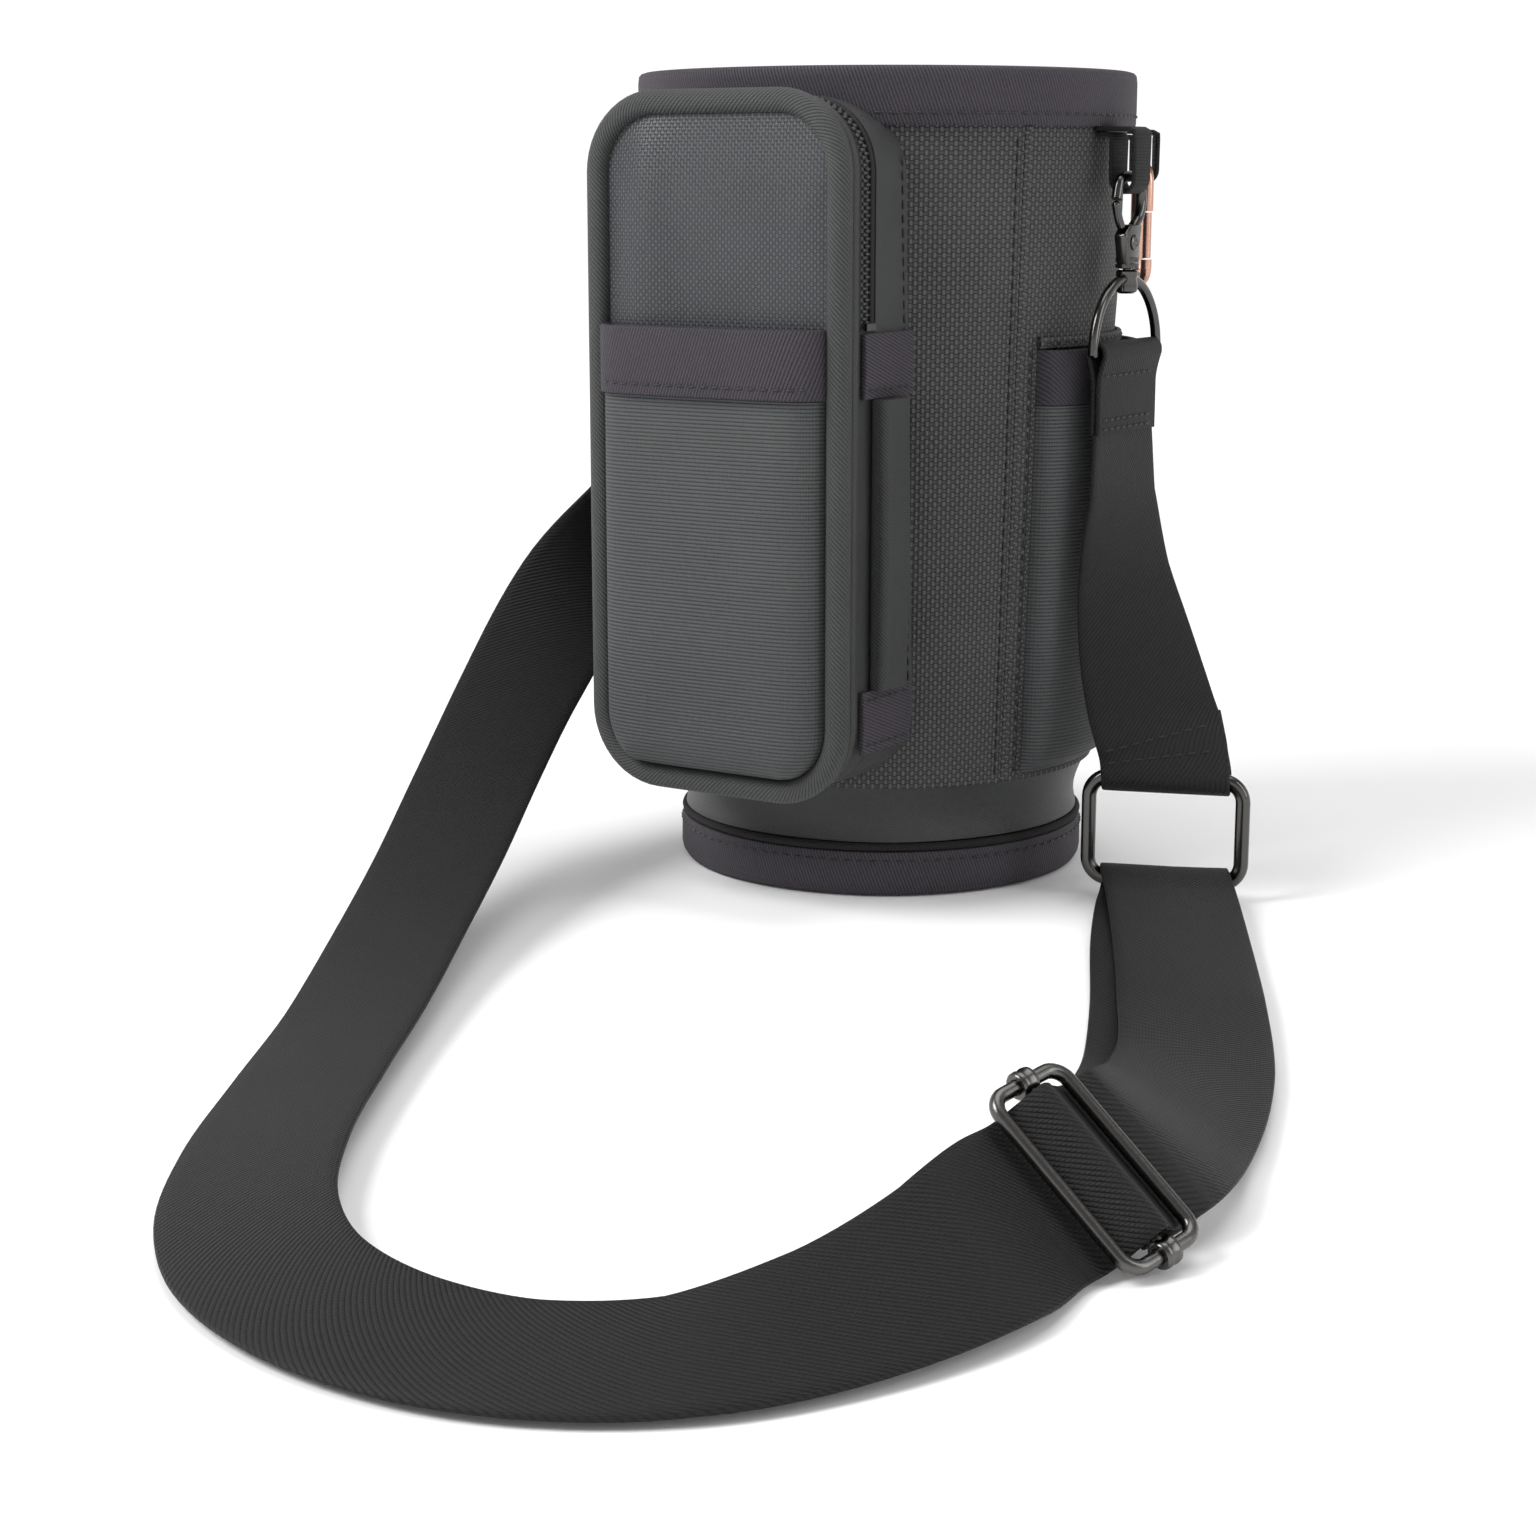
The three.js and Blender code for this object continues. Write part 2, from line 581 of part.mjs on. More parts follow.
// ---- small side clip ----
function addClip() {
  const place = new THREE.Group();
  place.rotation.z = THREE.MathUtils.degToRad(clipAngle);
  bag.add(place);
  const loopLow = rimLow - clipLoopDrop;
  addLoop('clip_loop', place, clipLoopWidth, loopLow);
  const y = -hardwareRadius;
  const top = loopLow + webThickness + loopSlack + clipWire;
  const low = top - clipHeight;
  const mid = (top + low) / 2;
  const frame = toSolid(wireFrame(clipWidth, clipHeight, clipWidth / 2 - 0.2, clipWire));
  const moved = frame.translate([0, y, mid]);
  const gateLow = low + 8;
  const gateHigh = mid + 4;
  const cut = toSolid(box(clipWire + 1, clipWire + 2, gateHigh - gateLow, -clipWidth / 2 + clipWire / 2, y,
    (gateLow + gateHigh) / 2));
  const sleeve = toSolid(box(clipWire + 1.4, clipWire + 1.4, 24, clipWidth / 2 - clipWire / 2, y, mid + 1));
  addPiece('clip_body', toGeometry(moved.subtract(cut).add(sleeve)), looks.rose, place);
  addPiece('clip_gate', rodAlong('z', clipWire / 2 - 0.2, gateHigh - gateLow - 2 * gap,
    -clipWidth / 2 + clipWire / 2, y, (gateLow + gateHigh) / 2, 10), looks.rose, place);
}

// ---- webbing ----
// Each row is a place on the web's middle line, then the way across its width.
const connectingRoute = [
  [hardwareRadius, 0, webStart, 0, 1, 0],
  [83.2, 0, 120, 0.06, 1, 0],
  [85, -1, 98, 0.3, 0.95, 0],
  [91, -4, 76, 0.62, 0.78, 0],
  [98, -8, 58, 0.85, 0.53, 0],
  [104, -11.4, 46, 0.94, 0.33, 0],
  [106.2, -13.6, 36.8, 0.94, 0.33, 0],
  [105.8, -12.5, 34.1, 0.94, 0.33, 0],
  [104.9, -10.0, 33.0, 0.94, 0.33, 0],
  [104.0, -7.5, 34.1, 0.94, 0.33, 0],
  [103.6, -6.4, 36.8, 0.94, 0.33, 0],
  [102.6, -8.1, 45, 0.94, 0.33, 0],
  [99.8, -6.4, 53, 0.9, 0.44, 0],
];

const strapRoute = [
  [210.9, -274.8, 15.5, 0.78, -0.09, -0.62],
  [211.0, -268.3, 14.7, 0.78, -0.09, -0.62],
  [213.1, -258.5, 15.9, 0.78, -0.09, -0.62],
  [196.1, -210.1, 8.4, 0.94, 0.11, -0.32],
  [179.4, -169.7, 3.6, 0.96, 0.26, -0.10],
  [156.1, -119.2, 2.0, 0.94, 0.33, 0.00],
  [129.3, -65.1, 2.0, 0.94, 0.33, 0.00],
  [112.5, -28.3, 1.7, 0.94, 0.33, 0.00],
  [104.9, -10.0, 1.4, 0.94, 0.33, 0.00],
  [104.0, -7.5, 2.5, 0.94, 0.33, 0.00],
  [103.6, -6.4, 5.2, 0.94, 0.33, 0.00],
  [104.0, -7.5, 7.9, 0.94, 0.33, 0.00],
  [104.9, -10.0, 9.0, 0.94, 0.33, 0.00],
  [114.5, -25.8, 7.0, 0.94, 0.33, 0.00],
  [134.3, -61.8, 4.8, 0.94, 0.33, 0.00],
  [162.0, -115.4, 4.8, 0.94, 0.33, 0.00],
  [186.1, -165.3, 6.4, 0.95, 0.26, -0.15],
  [204.1, -213.3, 11.5, 0.91, 0.10, -0.39],
  [215.8, -254.4, 18.6, 0.78, -0.09, -0.62],
  [213.4, -262.9, 16.8, 0.78, -0.09, -0.62],
  [214.1, -269.6, 18.7, 0.78, -0.09, -0.62],
  [215.2, -275.5, 21.0, 0.78, -0.09, -0.62],
  [211.7, -279.2, 17.2, 0.78, -0.09, -0.62],
  [208.2, -284.1, 13.5, 0.78, -0.09, -0.62],
  [206.6, -293.0, 12.8, 0.78, -0.09, -0.62],
  [206.5, -314.3, 11.8, 0.74, -0.48, -0.46],
  [196.7, -343.3, 7.8, 0.64, -0.71, -0.30],
  [178.6, -370.5, 5.0, 0.54, -0.83, -0.17],
  [151.2, -387.1, 4.4, 0.28, -0.95, -0.14],
  [119.6, -389.8, 4.4, -0.07, -0.99, -0.14],
  [88.3, -380.2, 4.4, -0.44, -0.89, -0.14],
  [61.7, -359.4, 4.4, -0.74, -0.66, -0.14],
  [37.4, -327.5, 4.4, -0.85, -0.51, -0.14],
  [14.6, -288.6, 4.6, -0.86, -0.49, -0.14],
  [-9.3, -244.5, 6.0, -0.87, -0.47, -0.14],
  [-33.2, -200.4, 11.0, -0.88, -0.47, -0.10],
  [-55.4, -155.2, 21.0, -0.86, -0.50, -0.05],
  [-74.0, -113.7, 36.0, -0.84, -0.54, 0.00],
  [-88.0, -73.8, 56.0, -0.71, -0.71, 0.00],
  [-92.6, -41.0, 80.0, -0.48, -0.88, 0.00],
  [-88.4, -15, 103, -0.22, -0.98, 0],
  [-84.2, -2.6, 121, -0.05, -1, 0],
  [-hardwareRadius, 0, 131, 0, -1, 0],
  [-hardwareRadius, 0, webStart, 0, -1, 0],
];

// A flat web that follows a route, made by bending a long block along it.
function webAlong(route, stepsPerSpan) {
  const middle = new THREE.CatmullRomCurve3(route.map(([x, y, z]) => new THREE.Vector3(x, y, z)));
  const ways = route.map((row) => new THREE.Vector3(row[3], row[4], row[5]));
  const across = new THREE.CatmullRomCurve3(ways, false, 'catmullrom', 0.5);
  const steps = (route.length - 1) * stepsPerSpan;
  const geometry = new THREE.BoxGeometry(webWidth, webThickness, 1, 1, 1, steps);
  const place = geometry.attributes.position;
  const point = new THREE.Vector3();
  for (let i = 0; i < place.count; i += 1) {
    const t = Math.min(Math.max(place.getZ(i) + 0.5, 0), 1);
    const tangent = middle.getTangent(t);
    const side = across.getPoint(t);
    side.addScaledVector(tangent, -side.dot(tangent)).normalize();
    const up = new THREE.Vector3().crossVectors(tangent, side);
    point.copy(middle.getPoint(t)).addScaledVector(side, place.getX(i)).addScaledVector(up, place.getY(i));
    place.setXYZ(i, point.x, point.y, point.z);
  }
  return geometry;
}

function frameAt(x, y, z, along, across) {
  const group = new THREE.Group();
  const u = new THREE.Vector3(...across).normalize();
  const w = new THREE.Vector3(...along).normalize();
  const v = new THREE.Vector3().crossVectors(w, u).normalize();
  group.applyMatrix4(new THREE.Matrix4().makeBasis(u, v, w).setPosition(x, y, z));
  bag.add(group);
  return group;
}

// The rectangular ring stands on its lower long bar beside the foot.
function addSquareRing() {
  const standing = frameAt(104.9, -10, 5.2 + squareHeight / 2, [0, 0, 1], [0.94, 0.33, 0]);
  const width = squareInside + 2 * squareWire;
  addPiece('strap_ring', wireFrame(width, squareHeight + squareWire, 6, squareWire), looks.metal, standing);
}

// The adjuster: an oblong frame with a bar that slides on its two short sides.
function addAdjuster() {
  const place = frameAt(212.8, -274.4, 17.8, [-0.233, -0.962, -0.15], [0.776, -0.093, -0.62]);
  const width = adjusterInside + 2 * adjusterWire;
  const height = 2 * adjusterPitch + adjusterWire;
  addPiece('adjuster_frame', wireFrame(width, height, 5, adjusterWire), looks.metal, place);
  const sideAt = width / 2 - adjusterWire / 2;
  let bar = toSolid(rodAlong('x', adjusterWire / 2, adjusterInside - 2, 0, 0, 0));
  for (const side of [-1, 1]) {
    bar = bar.add(toSolid(rodAlong('z', adjusterWire / 2 + gap + 1.3, 4.4, side * sideAt, 0, 0, 16)));
  }
  for (const side of [-1, 1]) {
    bar = bar.subtract(toSolid(box(adjusterWire + 2 * gap, adjusterWire + 2 * gap, 12, side * sideAt, 0, 0)));
  }
  addPiece('adjuster_bar', toGeometry(bar), looks.metal, place);
}

addBody();
const zip = addPocket();
addSlipPocket();
addZipSlider(zip);
addGrabStrip(zip);
addSidePocket();
addStrapEnd('right', 90);
addStrapEnd('left', -90);
addClip();
addSquareRing();
addAdjuster();
addPiece('connecting_web', webAlong(connectingRoute, 5), looks.web);
addPiece('shoulder_strap', webAlong(strapRoute, 4), looks.web);

export default bag;
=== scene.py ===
# Rope bag with a zip pocket, slip pockets, snap hooks and a webbing shoulder strap.
import json
import math
import bmesh
import bpy
from mathutils import Matrix, Vector, noise

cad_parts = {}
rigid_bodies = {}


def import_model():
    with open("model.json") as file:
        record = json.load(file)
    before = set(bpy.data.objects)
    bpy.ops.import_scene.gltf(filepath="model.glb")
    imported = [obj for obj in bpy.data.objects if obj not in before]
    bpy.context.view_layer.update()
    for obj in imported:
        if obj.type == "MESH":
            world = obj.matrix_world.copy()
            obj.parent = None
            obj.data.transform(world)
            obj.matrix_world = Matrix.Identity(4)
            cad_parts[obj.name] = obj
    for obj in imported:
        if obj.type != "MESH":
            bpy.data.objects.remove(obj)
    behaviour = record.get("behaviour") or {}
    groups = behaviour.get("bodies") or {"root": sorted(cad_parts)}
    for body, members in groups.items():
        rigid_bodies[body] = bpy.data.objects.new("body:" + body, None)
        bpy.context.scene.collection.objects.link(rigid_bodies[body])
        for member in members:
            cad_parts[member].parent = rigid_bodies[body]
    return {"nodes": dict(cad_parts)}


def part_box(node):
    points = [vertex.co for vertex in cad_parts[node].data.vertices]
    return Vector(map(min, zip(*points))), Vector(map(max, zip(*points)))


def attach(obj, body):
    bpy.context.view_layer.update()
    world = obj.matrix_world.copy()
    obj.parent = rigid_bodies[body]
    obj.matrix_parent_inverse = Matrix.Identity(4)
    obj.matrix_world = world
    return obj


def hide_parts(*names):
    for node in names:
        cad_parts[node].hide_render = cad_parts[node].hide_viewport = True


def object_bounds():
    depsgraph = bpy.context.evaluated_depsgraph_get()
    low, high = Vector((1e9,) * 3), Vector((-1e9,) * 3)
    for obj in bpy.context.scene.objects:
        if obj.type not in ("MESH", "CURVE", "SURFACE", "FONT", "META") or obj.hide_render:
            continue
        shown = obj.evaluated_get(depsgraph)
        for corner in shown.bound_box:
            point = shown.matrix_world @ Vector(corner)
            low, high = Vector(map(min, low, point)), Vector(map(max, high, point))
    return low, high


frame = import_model()
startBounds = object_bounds()
mm = 0.001
upward = Vector((0, 0, 1))


# ---------- meshes ----------
def boxOf(node):
    return [Vector(corner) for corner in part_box(node)]


def bodyOf(node):
    return frame["nodes"][node].parent.name.split(":")[1]


def finishPiece(name, bm, look, nodes=(), body=None, sharp=40):
    bmesh.ops.remove_doubles(bm, verts=bm.verts, dist=0.000002)
    bmesh.ops.recalc_face_normals(bm, faces=bm.faces)
    for face in bm.faces:
        face.smooth = True
    for edge in bm.edges:
        edge.smooth = edge.calc_face_angle(0) < math.radians(sharp)
    mesh = bpy.data.meshes.new(name)
    bm.to_mesh(mesh)
    bm.free()
    piece = bpy.data.objects.new(name, mesh)
    bpy.context.scene.collection.objects.link(piece)
    piece.data.materials.append(looks[look])
    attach(piece, body or bodyOf(nodes[0]))
    if nodes:
        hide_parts(*nodes)
    return piece


def openEdges(bm):
    return [edge for edge in bm.edges if edge.is_boundary]


def runLengths(points):
    lengths = [0.0]
    for a, b in zip(points, points[1:]):
        lengths.append(lengths[-1] + (b - a).length)
    return lengths


def layGrid(bm, us, vs, place):
    # a grid bent into shape, with its UV map laid out in metres
    made = bmesh.ops.create_grid(bm, x_segments=len(us) - 1, y_segments=len(vs) - 1, size=1)
    uv = bm.loops.layers.uv.get("cloth") or bm.loops.layers.uv.new("cloth")
    spots = {}
    for vert in made["verts"]:
        i = round((vert.co.x + 1) / 2 * (len(us) - 1))
        j = round((vert.co.y + 1) / 2 * (len(vs) - 1))
        spots[vert] = (i, j)
    faces = {face for vert in made["verts"] for face in vert.link_faces}
    for face in faces:
        for loop in face.loops:
            i, j = spots[loop.vert]
            loop[uv].uv = (us[i], vs[j])
    for vert, (i, j) in spots.items():
        vert.co = place(i, j)
    return made["verts"]


def inMetres(rows):
    return [(a * mm, b * mm) for a, b in rows]


def sweepInto(bm, stations, section, closed=True):
    # the closed section carried along stations of (point, out, up)
    rows = [Vector(p) for p in section] + [Vector(section[0])]
    stops = stations + stations[:1] if closed else stations
    us = runLengths([p + o * rows[0].x + w * rows[0].y for p, o, w in stops])
    vs = runLengths(rows)

    def place(i, j):
        point, out, over = stops[i]
        return point + out * rows[j].x + over * rows[j].y
    verts = layGrid(bm, us, vs, place)
    bmesh.ops.remove_doubles(bm, verts=verts, dist=0.000002)
    if not closed:
        bmesh.ops.holes_fill(bm, edges=openEdges(bm))


def swept(name, stations, section, look, closed=True, **more):
    bm = bmesh.new()
    sweepInto(bm, stations, section, closed)
    return finishPiece(name, bm, look, **more)


def roundSection(width, depth, count=16, power=2.0):
    # an oval that gets squarer as its power rises
    points = []
    for k in range(count):
        a = 2 * math.pi * k / count
        c, s = math.cos(a), math.sin(a)
        points.append((math.copysign(abs(c) ** (2 / power), c) * width / 2,
                       math.copysign(abs(s) ** (2 / power), s) * depth / 2))
    return points


def slabSection(x0, x1, z0, z1, corner, steps=3):
    points = []
    corners = [(x1 - corner, z0 + corner, -90), (x1 - corner, z1 - corner, 0),
               (x0 + corner, z1 - corner, 90), (x0 + corner, z0 + corner, 180)]
    for x, z, start in corners:
        for k in range(steps + 1):
            a = math.radians(start + 90 * k / steps)
            points.append((x + corner * math.cos(a), z + corner * math.sin(a)))
    return points


def roundStations(count=180, start=0.0, end=360.0):
    # all the way round the bag, or part of it, in degrees from the front towards +X
    stations = []
    full = end - start >= 360
    for k in range(count if full else count + 1):
        a = math.radians(start - 180 * full + (end - start) * k / count)
        stations.append((Vector((0, 0, 0)), Vector((math.sin(a), -math.cos(a), 0)), upward))
    return stations


def uprightStations(x, y, z0, z1, steps, narrowing=0.0):
    return [(Vector((x, y, z0 + (z1 - z0) * k / steps)), Vector((1, 0, 0)),
             Vector((0, 1, 0)) * (1 - narrowing * k / steps)) for k in range(steps + 1)]


def splineThrough(points, perSpan):
    # centripetal curve through every point
    knots = [points[0] * 2 - points[1]] + points + [points[-1] * 2 - points[-2]]
    found = []
    for k in range(1, len(knots) - 2):
        p0, p1, p2, p3 = knots[k - 1:k + 3]
        d0, d1, d2 = [max((b - a).length ** 0.5, 1e-6) for a, b in ((p0, p1), (p1, p2), (p2, p3))]
        m1 = ((p1 - p0) / d0 - (p2 - p0) / (d0 + d1) + (p2 - p1) / d1) * d1
        m2 = ((p2 - p1) / d1 - (p3 - p1) / (d1 + d2) + (p3 - p2) / d2) * d1
        for s in range(perSpan):
            t = s / perSpan
            found.append(p1 * (2 * t ** 3 - 3 * t ** 2 + 1) + m1 * (t ** 3 - 2 * t ** 2 + t)
                         + p2 * (3 * t ** 2 - 2 * t ** 3) + m2 * (t ** 3 - t ** 2))
    found.append(points[-1])
    return found


def wireStations(points, side=Vector((0, 1, 0)), closed=False):
    stations = []
    count = len(points)
    for k, point in enumerate(points):
        after = points[(k + 1) % count] if closed else points[min(k + 1, count - 1)]
        before = points[k - 1] if closed or k else points[0]
        along = (after - before).normalized()
        out = (side - along * side.dot(along)).normalized()
        stations.append((point, out, along.cross(out)))
    return stations


stitch = {"length": 3.1 * mm, "gap": 0.9 * mm, "width": 0.8 * mm, "height": 0.32 * mm}


def addStitches(bm, points, normals):
    # short raised stitches laid end to end along a line
    runs = runLengths(points)
    at = stitch["gap"] / 2
    k = 0
    while at + stitch["length"] < runs[-1]:
        middle = at + stitch["length"] / 2
        while runs[k + 1] < middle:
            k += 1
        share = (middle - runs[k]) / (runs[k + 1] - runs[k])
        point = points[k].lerp(points[k + 1], share)
        along = (points[k + 1] - points[k]).normalized()
        normal = normals[k]
        side = along.cross(normal).normalized()
        turn = Matrix((along, side, normal)).transposed().to_4x4()
        sizes = Matrix.Diagonal((stitch["length"] / 2, stitch["width"] / 2, stitch["height"], 1))
        bmesh.ops.create_icosphere(bm, subdivisions=1, radius=1,
                                   matrix=Matrix.Translation(point) @ turn @ sizes)
        at += stitch["length"] + stitch["gap"]


def stitched(name, lines, look="thread"):
    bm = bmesh.new()
    for points, normals in lines:
        addStitches(bm, points, normals)
    finishPiece(name, bm, look, body="root", sharp=80)


# ---------- shared patterns ----------
def addNode(tree, kind, **values):
    # a shader node with its sockets set, where an underscore stands for a space
    node = tree.nodes.new("ShaderNode" + kind)
    for socket, value in values.items():
        node.inputs[socket.replace("_", " ")].default_value = value
    return node


def newLook(name):
    material = bpy.data.materials.new(name)
    material.use_nodes = True
    return material, material.node_tree, material.node_tree.nodes["Principled BSDF"]


def calc(tree, operation, *values):
    node = addNode(tree, "Math")
    node.operation = operation
    for k, value in enumerate(values):
        if isinstance(value, (int, float)):
            node.inputs[k].default_value = value
        else:
            tree.links.new(value, node.inputs[k])
    return node.outputs[0]


def patternGroup(name, heightOf):
    # puts out the height of the threads, 0 to 1
    tree = bpy.data.node_groups.new(name, "ShaderNodeTree")
    tree.interface.new_socket("Place", in_out="INPUT", socket_type="NodeSocketVector")
    tree.interface.new_socket("Pitch", in_out="INPUT", socket_type="NodeSocketFloat")
    tree.interface.new_socket("Height", in_out="OUTPUT", socket_type="NodeSocketFloat")
    start = tree.nodes.new("NodeGroupInput")
    end = tree.nodes.new("NodeGroupOutput")
    parts = addNode(tree, "SeparateXYZ")
    tree.links.new(start.outputs["Place"], parts.inputs[0])
    u = calc(tree, "DIVIDE", parts.outputs[0], start.outputs["Pitch"])
    v = calc(tree, "DIVIDE", parts.outputs[1], start.outputs["Pitch"])
    tree.links.new(heightOf(tree, u, v), end.inputs["Height"])
    return tree


def wave(tree, value, times=1.0):
    turned = calc(tree, "MULTIPLY", value, math.pi * times)
    return calc(tree, "ABSOLUTE", calc(tree, "SINE", turned))


def plainHeight(tree, u, v):
    checks = calc(tree, "ADD", calc(tree, "FLOOR", u), calc(tree, "FLOOR", v))
    odd = calc(tree, "FLOORED_MODULO", checks, 2.0)
    warp = calc(tree, "MULTIPLY", wave(tree, u), odd)
    weft = calc(tree, "MULTIPLY", wave(tree, v), calc(tree, "SUBTRACT", 1.0, odd))
    return calc(tree, "ADD", warp, calc(tree, "MULTIPLY", weft, 0.5))


def ribHeight(tree, u, v):
    ribs = calc(tree, "POWER", wave(tree, v), 0.55)
    threads = calc(tree, "MULTIPLY_ADD", wave(tree, u, 1.7), 0.25, 0.75)
    return calc(tree, "MULTIPLY", ribs, threads)


def twillHeight(tree, u, v):
    slant = calc(tree, "ADD", u, v)
    lines = calc(tree, "POWER", wave(tree, slant), 0.7)
    threads = calc(tree, "MULTIPLY_ADD", wave(tree, v, 2), 0.35, 0.65)
    return calc(tree, "MULTIPLY", lines, threads)


patterns = {
    "plain": patternGroup("plain weave", plainHeight),
    "ribs": patternGroup("ribbed weave", ribHeight),
    "twill": patternGroup("twill", twillHeight),
}


def clothLook(name, pattern, pitch, dark, light, depth, rough, sheen, turn=0.0, cloudy=0.25):
    material, tree, shader = newLook(name)
    place = addNode(tree, "UVMap")
    place.uv_map = "cloth"
    turned = addNode(tree, "Mapping", Rotation=(0, 0, math.radians(turn)))
    tree.links.new(place.outputs[0], turned.inputs["Vector"])
    weave = addNode(tree, "Group")
    weave.node_tree = patterns[pattern]
    weave.inputs["Pitch"].default_value = pitch * mm
    tree.links.new(turned.outputs[0], weave.inputs["Place"])
    height = weave.outputs["Height"]

    where = addNode(tree, "TexCoord")
    clouds = addNode(tree, "TexNoise", Scale=42.0, Detail=5.0)
    tree.links.new(where.outputs["Object"], clouds.inputs["Vector"])
    fuzz = addNode(tree, "TexNoise", Scale=1500.0, Detail=2.0)
    tree.links.new(where.outputs["Object"], fuzz.inputs["Vector"])
    # partly painted shade: the colour follows the thread height, so the valleys between threads are painted
    # darker; the cloud and fuzz noise are random tone
    threadShadeAndTone = calc(tree, "MULTIPLY_ADD", calc(tree, "SUBTRACT", clouds.outputs["Fac"], 0.5), cloudy, height)
    threadShadeAndTone = calc(tree, "MULTIPLY_ADD", calc(tree, "SUBTRACT", fuzz.outputs["Fac"], 0.5), 0.45, threadShadeAndTone)
    colour = addNode(tree, "Mix")
    colour.data_type = "RGBA"
    colour.inputs[6].default_value = (*dark, 1)
    colour.inputs[7].default_value = (*light, 1)
    tree.links.new(threadShadeAndTone, colour.inputs[0])
    tree.links.new(colour.outputs[2], shader.inputs["Base Color"])

    relief = calc(tree, "MULTIPLY_ADD", fuzz.outputs["Fac"], 0.35, height)
    bump = addNode(tree, "Bump", Strength=1.0, Distance=depth * mm)
    tree.links.new(relief, bump.inputs["Height"])
    tree.links.new(bump.outputs[0], shader.inputs["Normal"])
    shader.inputs["Roughness"].default_value = rough
    shader.inputs["Sheen Weight"].default_value = sheen
    shader.inputs["Sheen Roughness"].default_value = 0.45
    shader.inputs["Specular IOR Level"].default_value = 0.28
    return material


def plainLook(name, colour, rough, metal=0.0, grain=0.06, scale=700.0, depth=0.012, coat=0.0):
    material, tree, shader = newLook(name)
    where = addNode(tree, "TexCoord")
    marks = addNode(tree, "TexNoise", Scale=scale, Detail=4.0)
    tree.links.new(where.outputs["Object"], marks.inputs["Vector"])
    spread = calc(tree, "MULTIPLY_ADD", calc(tree, "SUBTRACT", marks.outputs["Fac"], 0.5), grain * 4, rough)
    tree.links.new(spread, shader.inputs["Roughness"])
    bump = addNode(tree, "Bump", Distance=depth * mm)
    tree.links.new(marks.outputs["Fac"], bump.inputs["Height"])
    tree.links.new(bump.outputs[0], shader.inputs["Normal"])
    shader.inputs["Base Color"].default_value = (*colour, 1)
    shader.inputs["Metallic"].default_value = metal
    shader.inputs["Coat Weight"].default_value = coat
    return material


looks = {
    "wall": clothLook("body weave", "plain", 1.3,
        (0.008, 0.008, 0.008), (0.088, 0.09, 0.088), 0.35, 0.7, 0.02),
    "gusset": clothLook("gusset twill", "twill", 0.9,
        (0.01, 0.01, 0.01), (0.05, 0.051, 0.052), 0.1, 0.42, 0.03),
    "pocket": clothLook("pocket weave", "plain", 1.0,
        (0.012, 0.0125, 0.0135), (0.08, 0.084, 0.091), 0.12, 0.33, 0.02),
    "piping": clothLook("piping weave", "twill", 1.4,
        (0.007, 0.007, 0.007), (0.062, 0.064, 0.064), 0.22, 0.6, 0.03),
    "ribbed": clothLook("ribbed weave", "ribs", 1.1,
        (0.008, 0.008, 0.0085), (0.07, 0.073, 0.075), 0.25, 0.6, 0.03),
    "strip": clothLook("strip twill", "twill", 1.1,
        (0.008, 0.008, 0.008), (0.05, 0.052, 0.052), 0.22, 0.7, 0.03),
    "tape": clothLook("binding tape", "twill", 1.35,
        (0.006, 0.005, 0.007), (0.056, 0.048, 0.06), 0.22, 0.7, 0.03, 25),
    "tapeTwill": clothLook("twill tape", "twill", 1.4,
        (0.008, 0.007, 0.009), (0.045, 0.04, 0.049), 0.2, 0.75, 0.03),
    "lining": clothLook("lining", "plain", 0.6,
        (0.006, 0.006, 0.0065), (0.022, 0.023, 0.024), 0.08, 0.5, 0.03),
    "board": clothLook("board", "plain", 0.8,
        (0.08, 0.08, 0.078), (0.13, 0.13, 0.125), 0.05, 0.9, 0.0),
    "cord": clothLook("seam cord", "twill", 0.9,
        (0.003, 0.003, 0.003), (0.014, 0.014, 0.014), 0.2, 0.8, 0.02),
    "web": clothLook("strap webbing", "twill", 1.5,
        (0.001, 0.001, 0.001), (0.0085, 0.0085, 0.0087), 0.28, 0.6, 0.0),
    "grosgrain": clothLook("loop ribbon", "ribs", 0.9,
        (0.001, 0.001, 0.001), (0.009, 0.009, 0.0093), 0.2, 0.7, 0.01, 90),
    "zipTape": clothLook("zip tape", "twill", 0.6,
        (0.005, 0.005, 0.005), (0.018, 0.018, 0.019), 0.1, 0.8, 0.02),
    "thread": plainLook("sewing thread", (0.009, 0.008, 0.01), 0.5, grain=0.05, scale=4000, depth=0.02),
    "blackThread": plainLook("black thread", (0.006, 0.006, 0.006), 0.5, grain=0.05, scale=4000, depth=0.02),
    "coil": plainLook("zip coil", (0.028, 0.028, 0.029), 0.32, grain=0.04),
    "gunmetal": plainLook("black nickel", (0.085, 0.083, 0.08), 0.18, 1.0, 0.03, 500),
    "satin": plainLook("satin gunmetal", (0.11, 0.107, 0.103), 0.27, 1.0, 0.03, 900),
    "rose": plainLook("rose metal", (0.55, 0.32, 0.25), 0.26, 1.0, 0.03, 600),
}
print("looks made")


# ---------- camera, floor and light ----------
camera = {"place": (0.4460, -0.7537, 0.213), "turn": 33.0, "tilt": -12.07, "lens": 65.0}
lens = bpy.data.cameras.new("camera")
lens.lens = camera["lens"]
lens.sensor_width = 36
lens.clip_start = 0.01
eye = bpy.data.objects.new("camera", lens)
eye.location = camera["place"]
eye.rotation_euler = (math.radians(90 + camera["tilt"]), 0, math.radians(camera["turn"]))
bpy.context.scene.collection.objects.link(eye)
bpy.context.scene.camera = eye

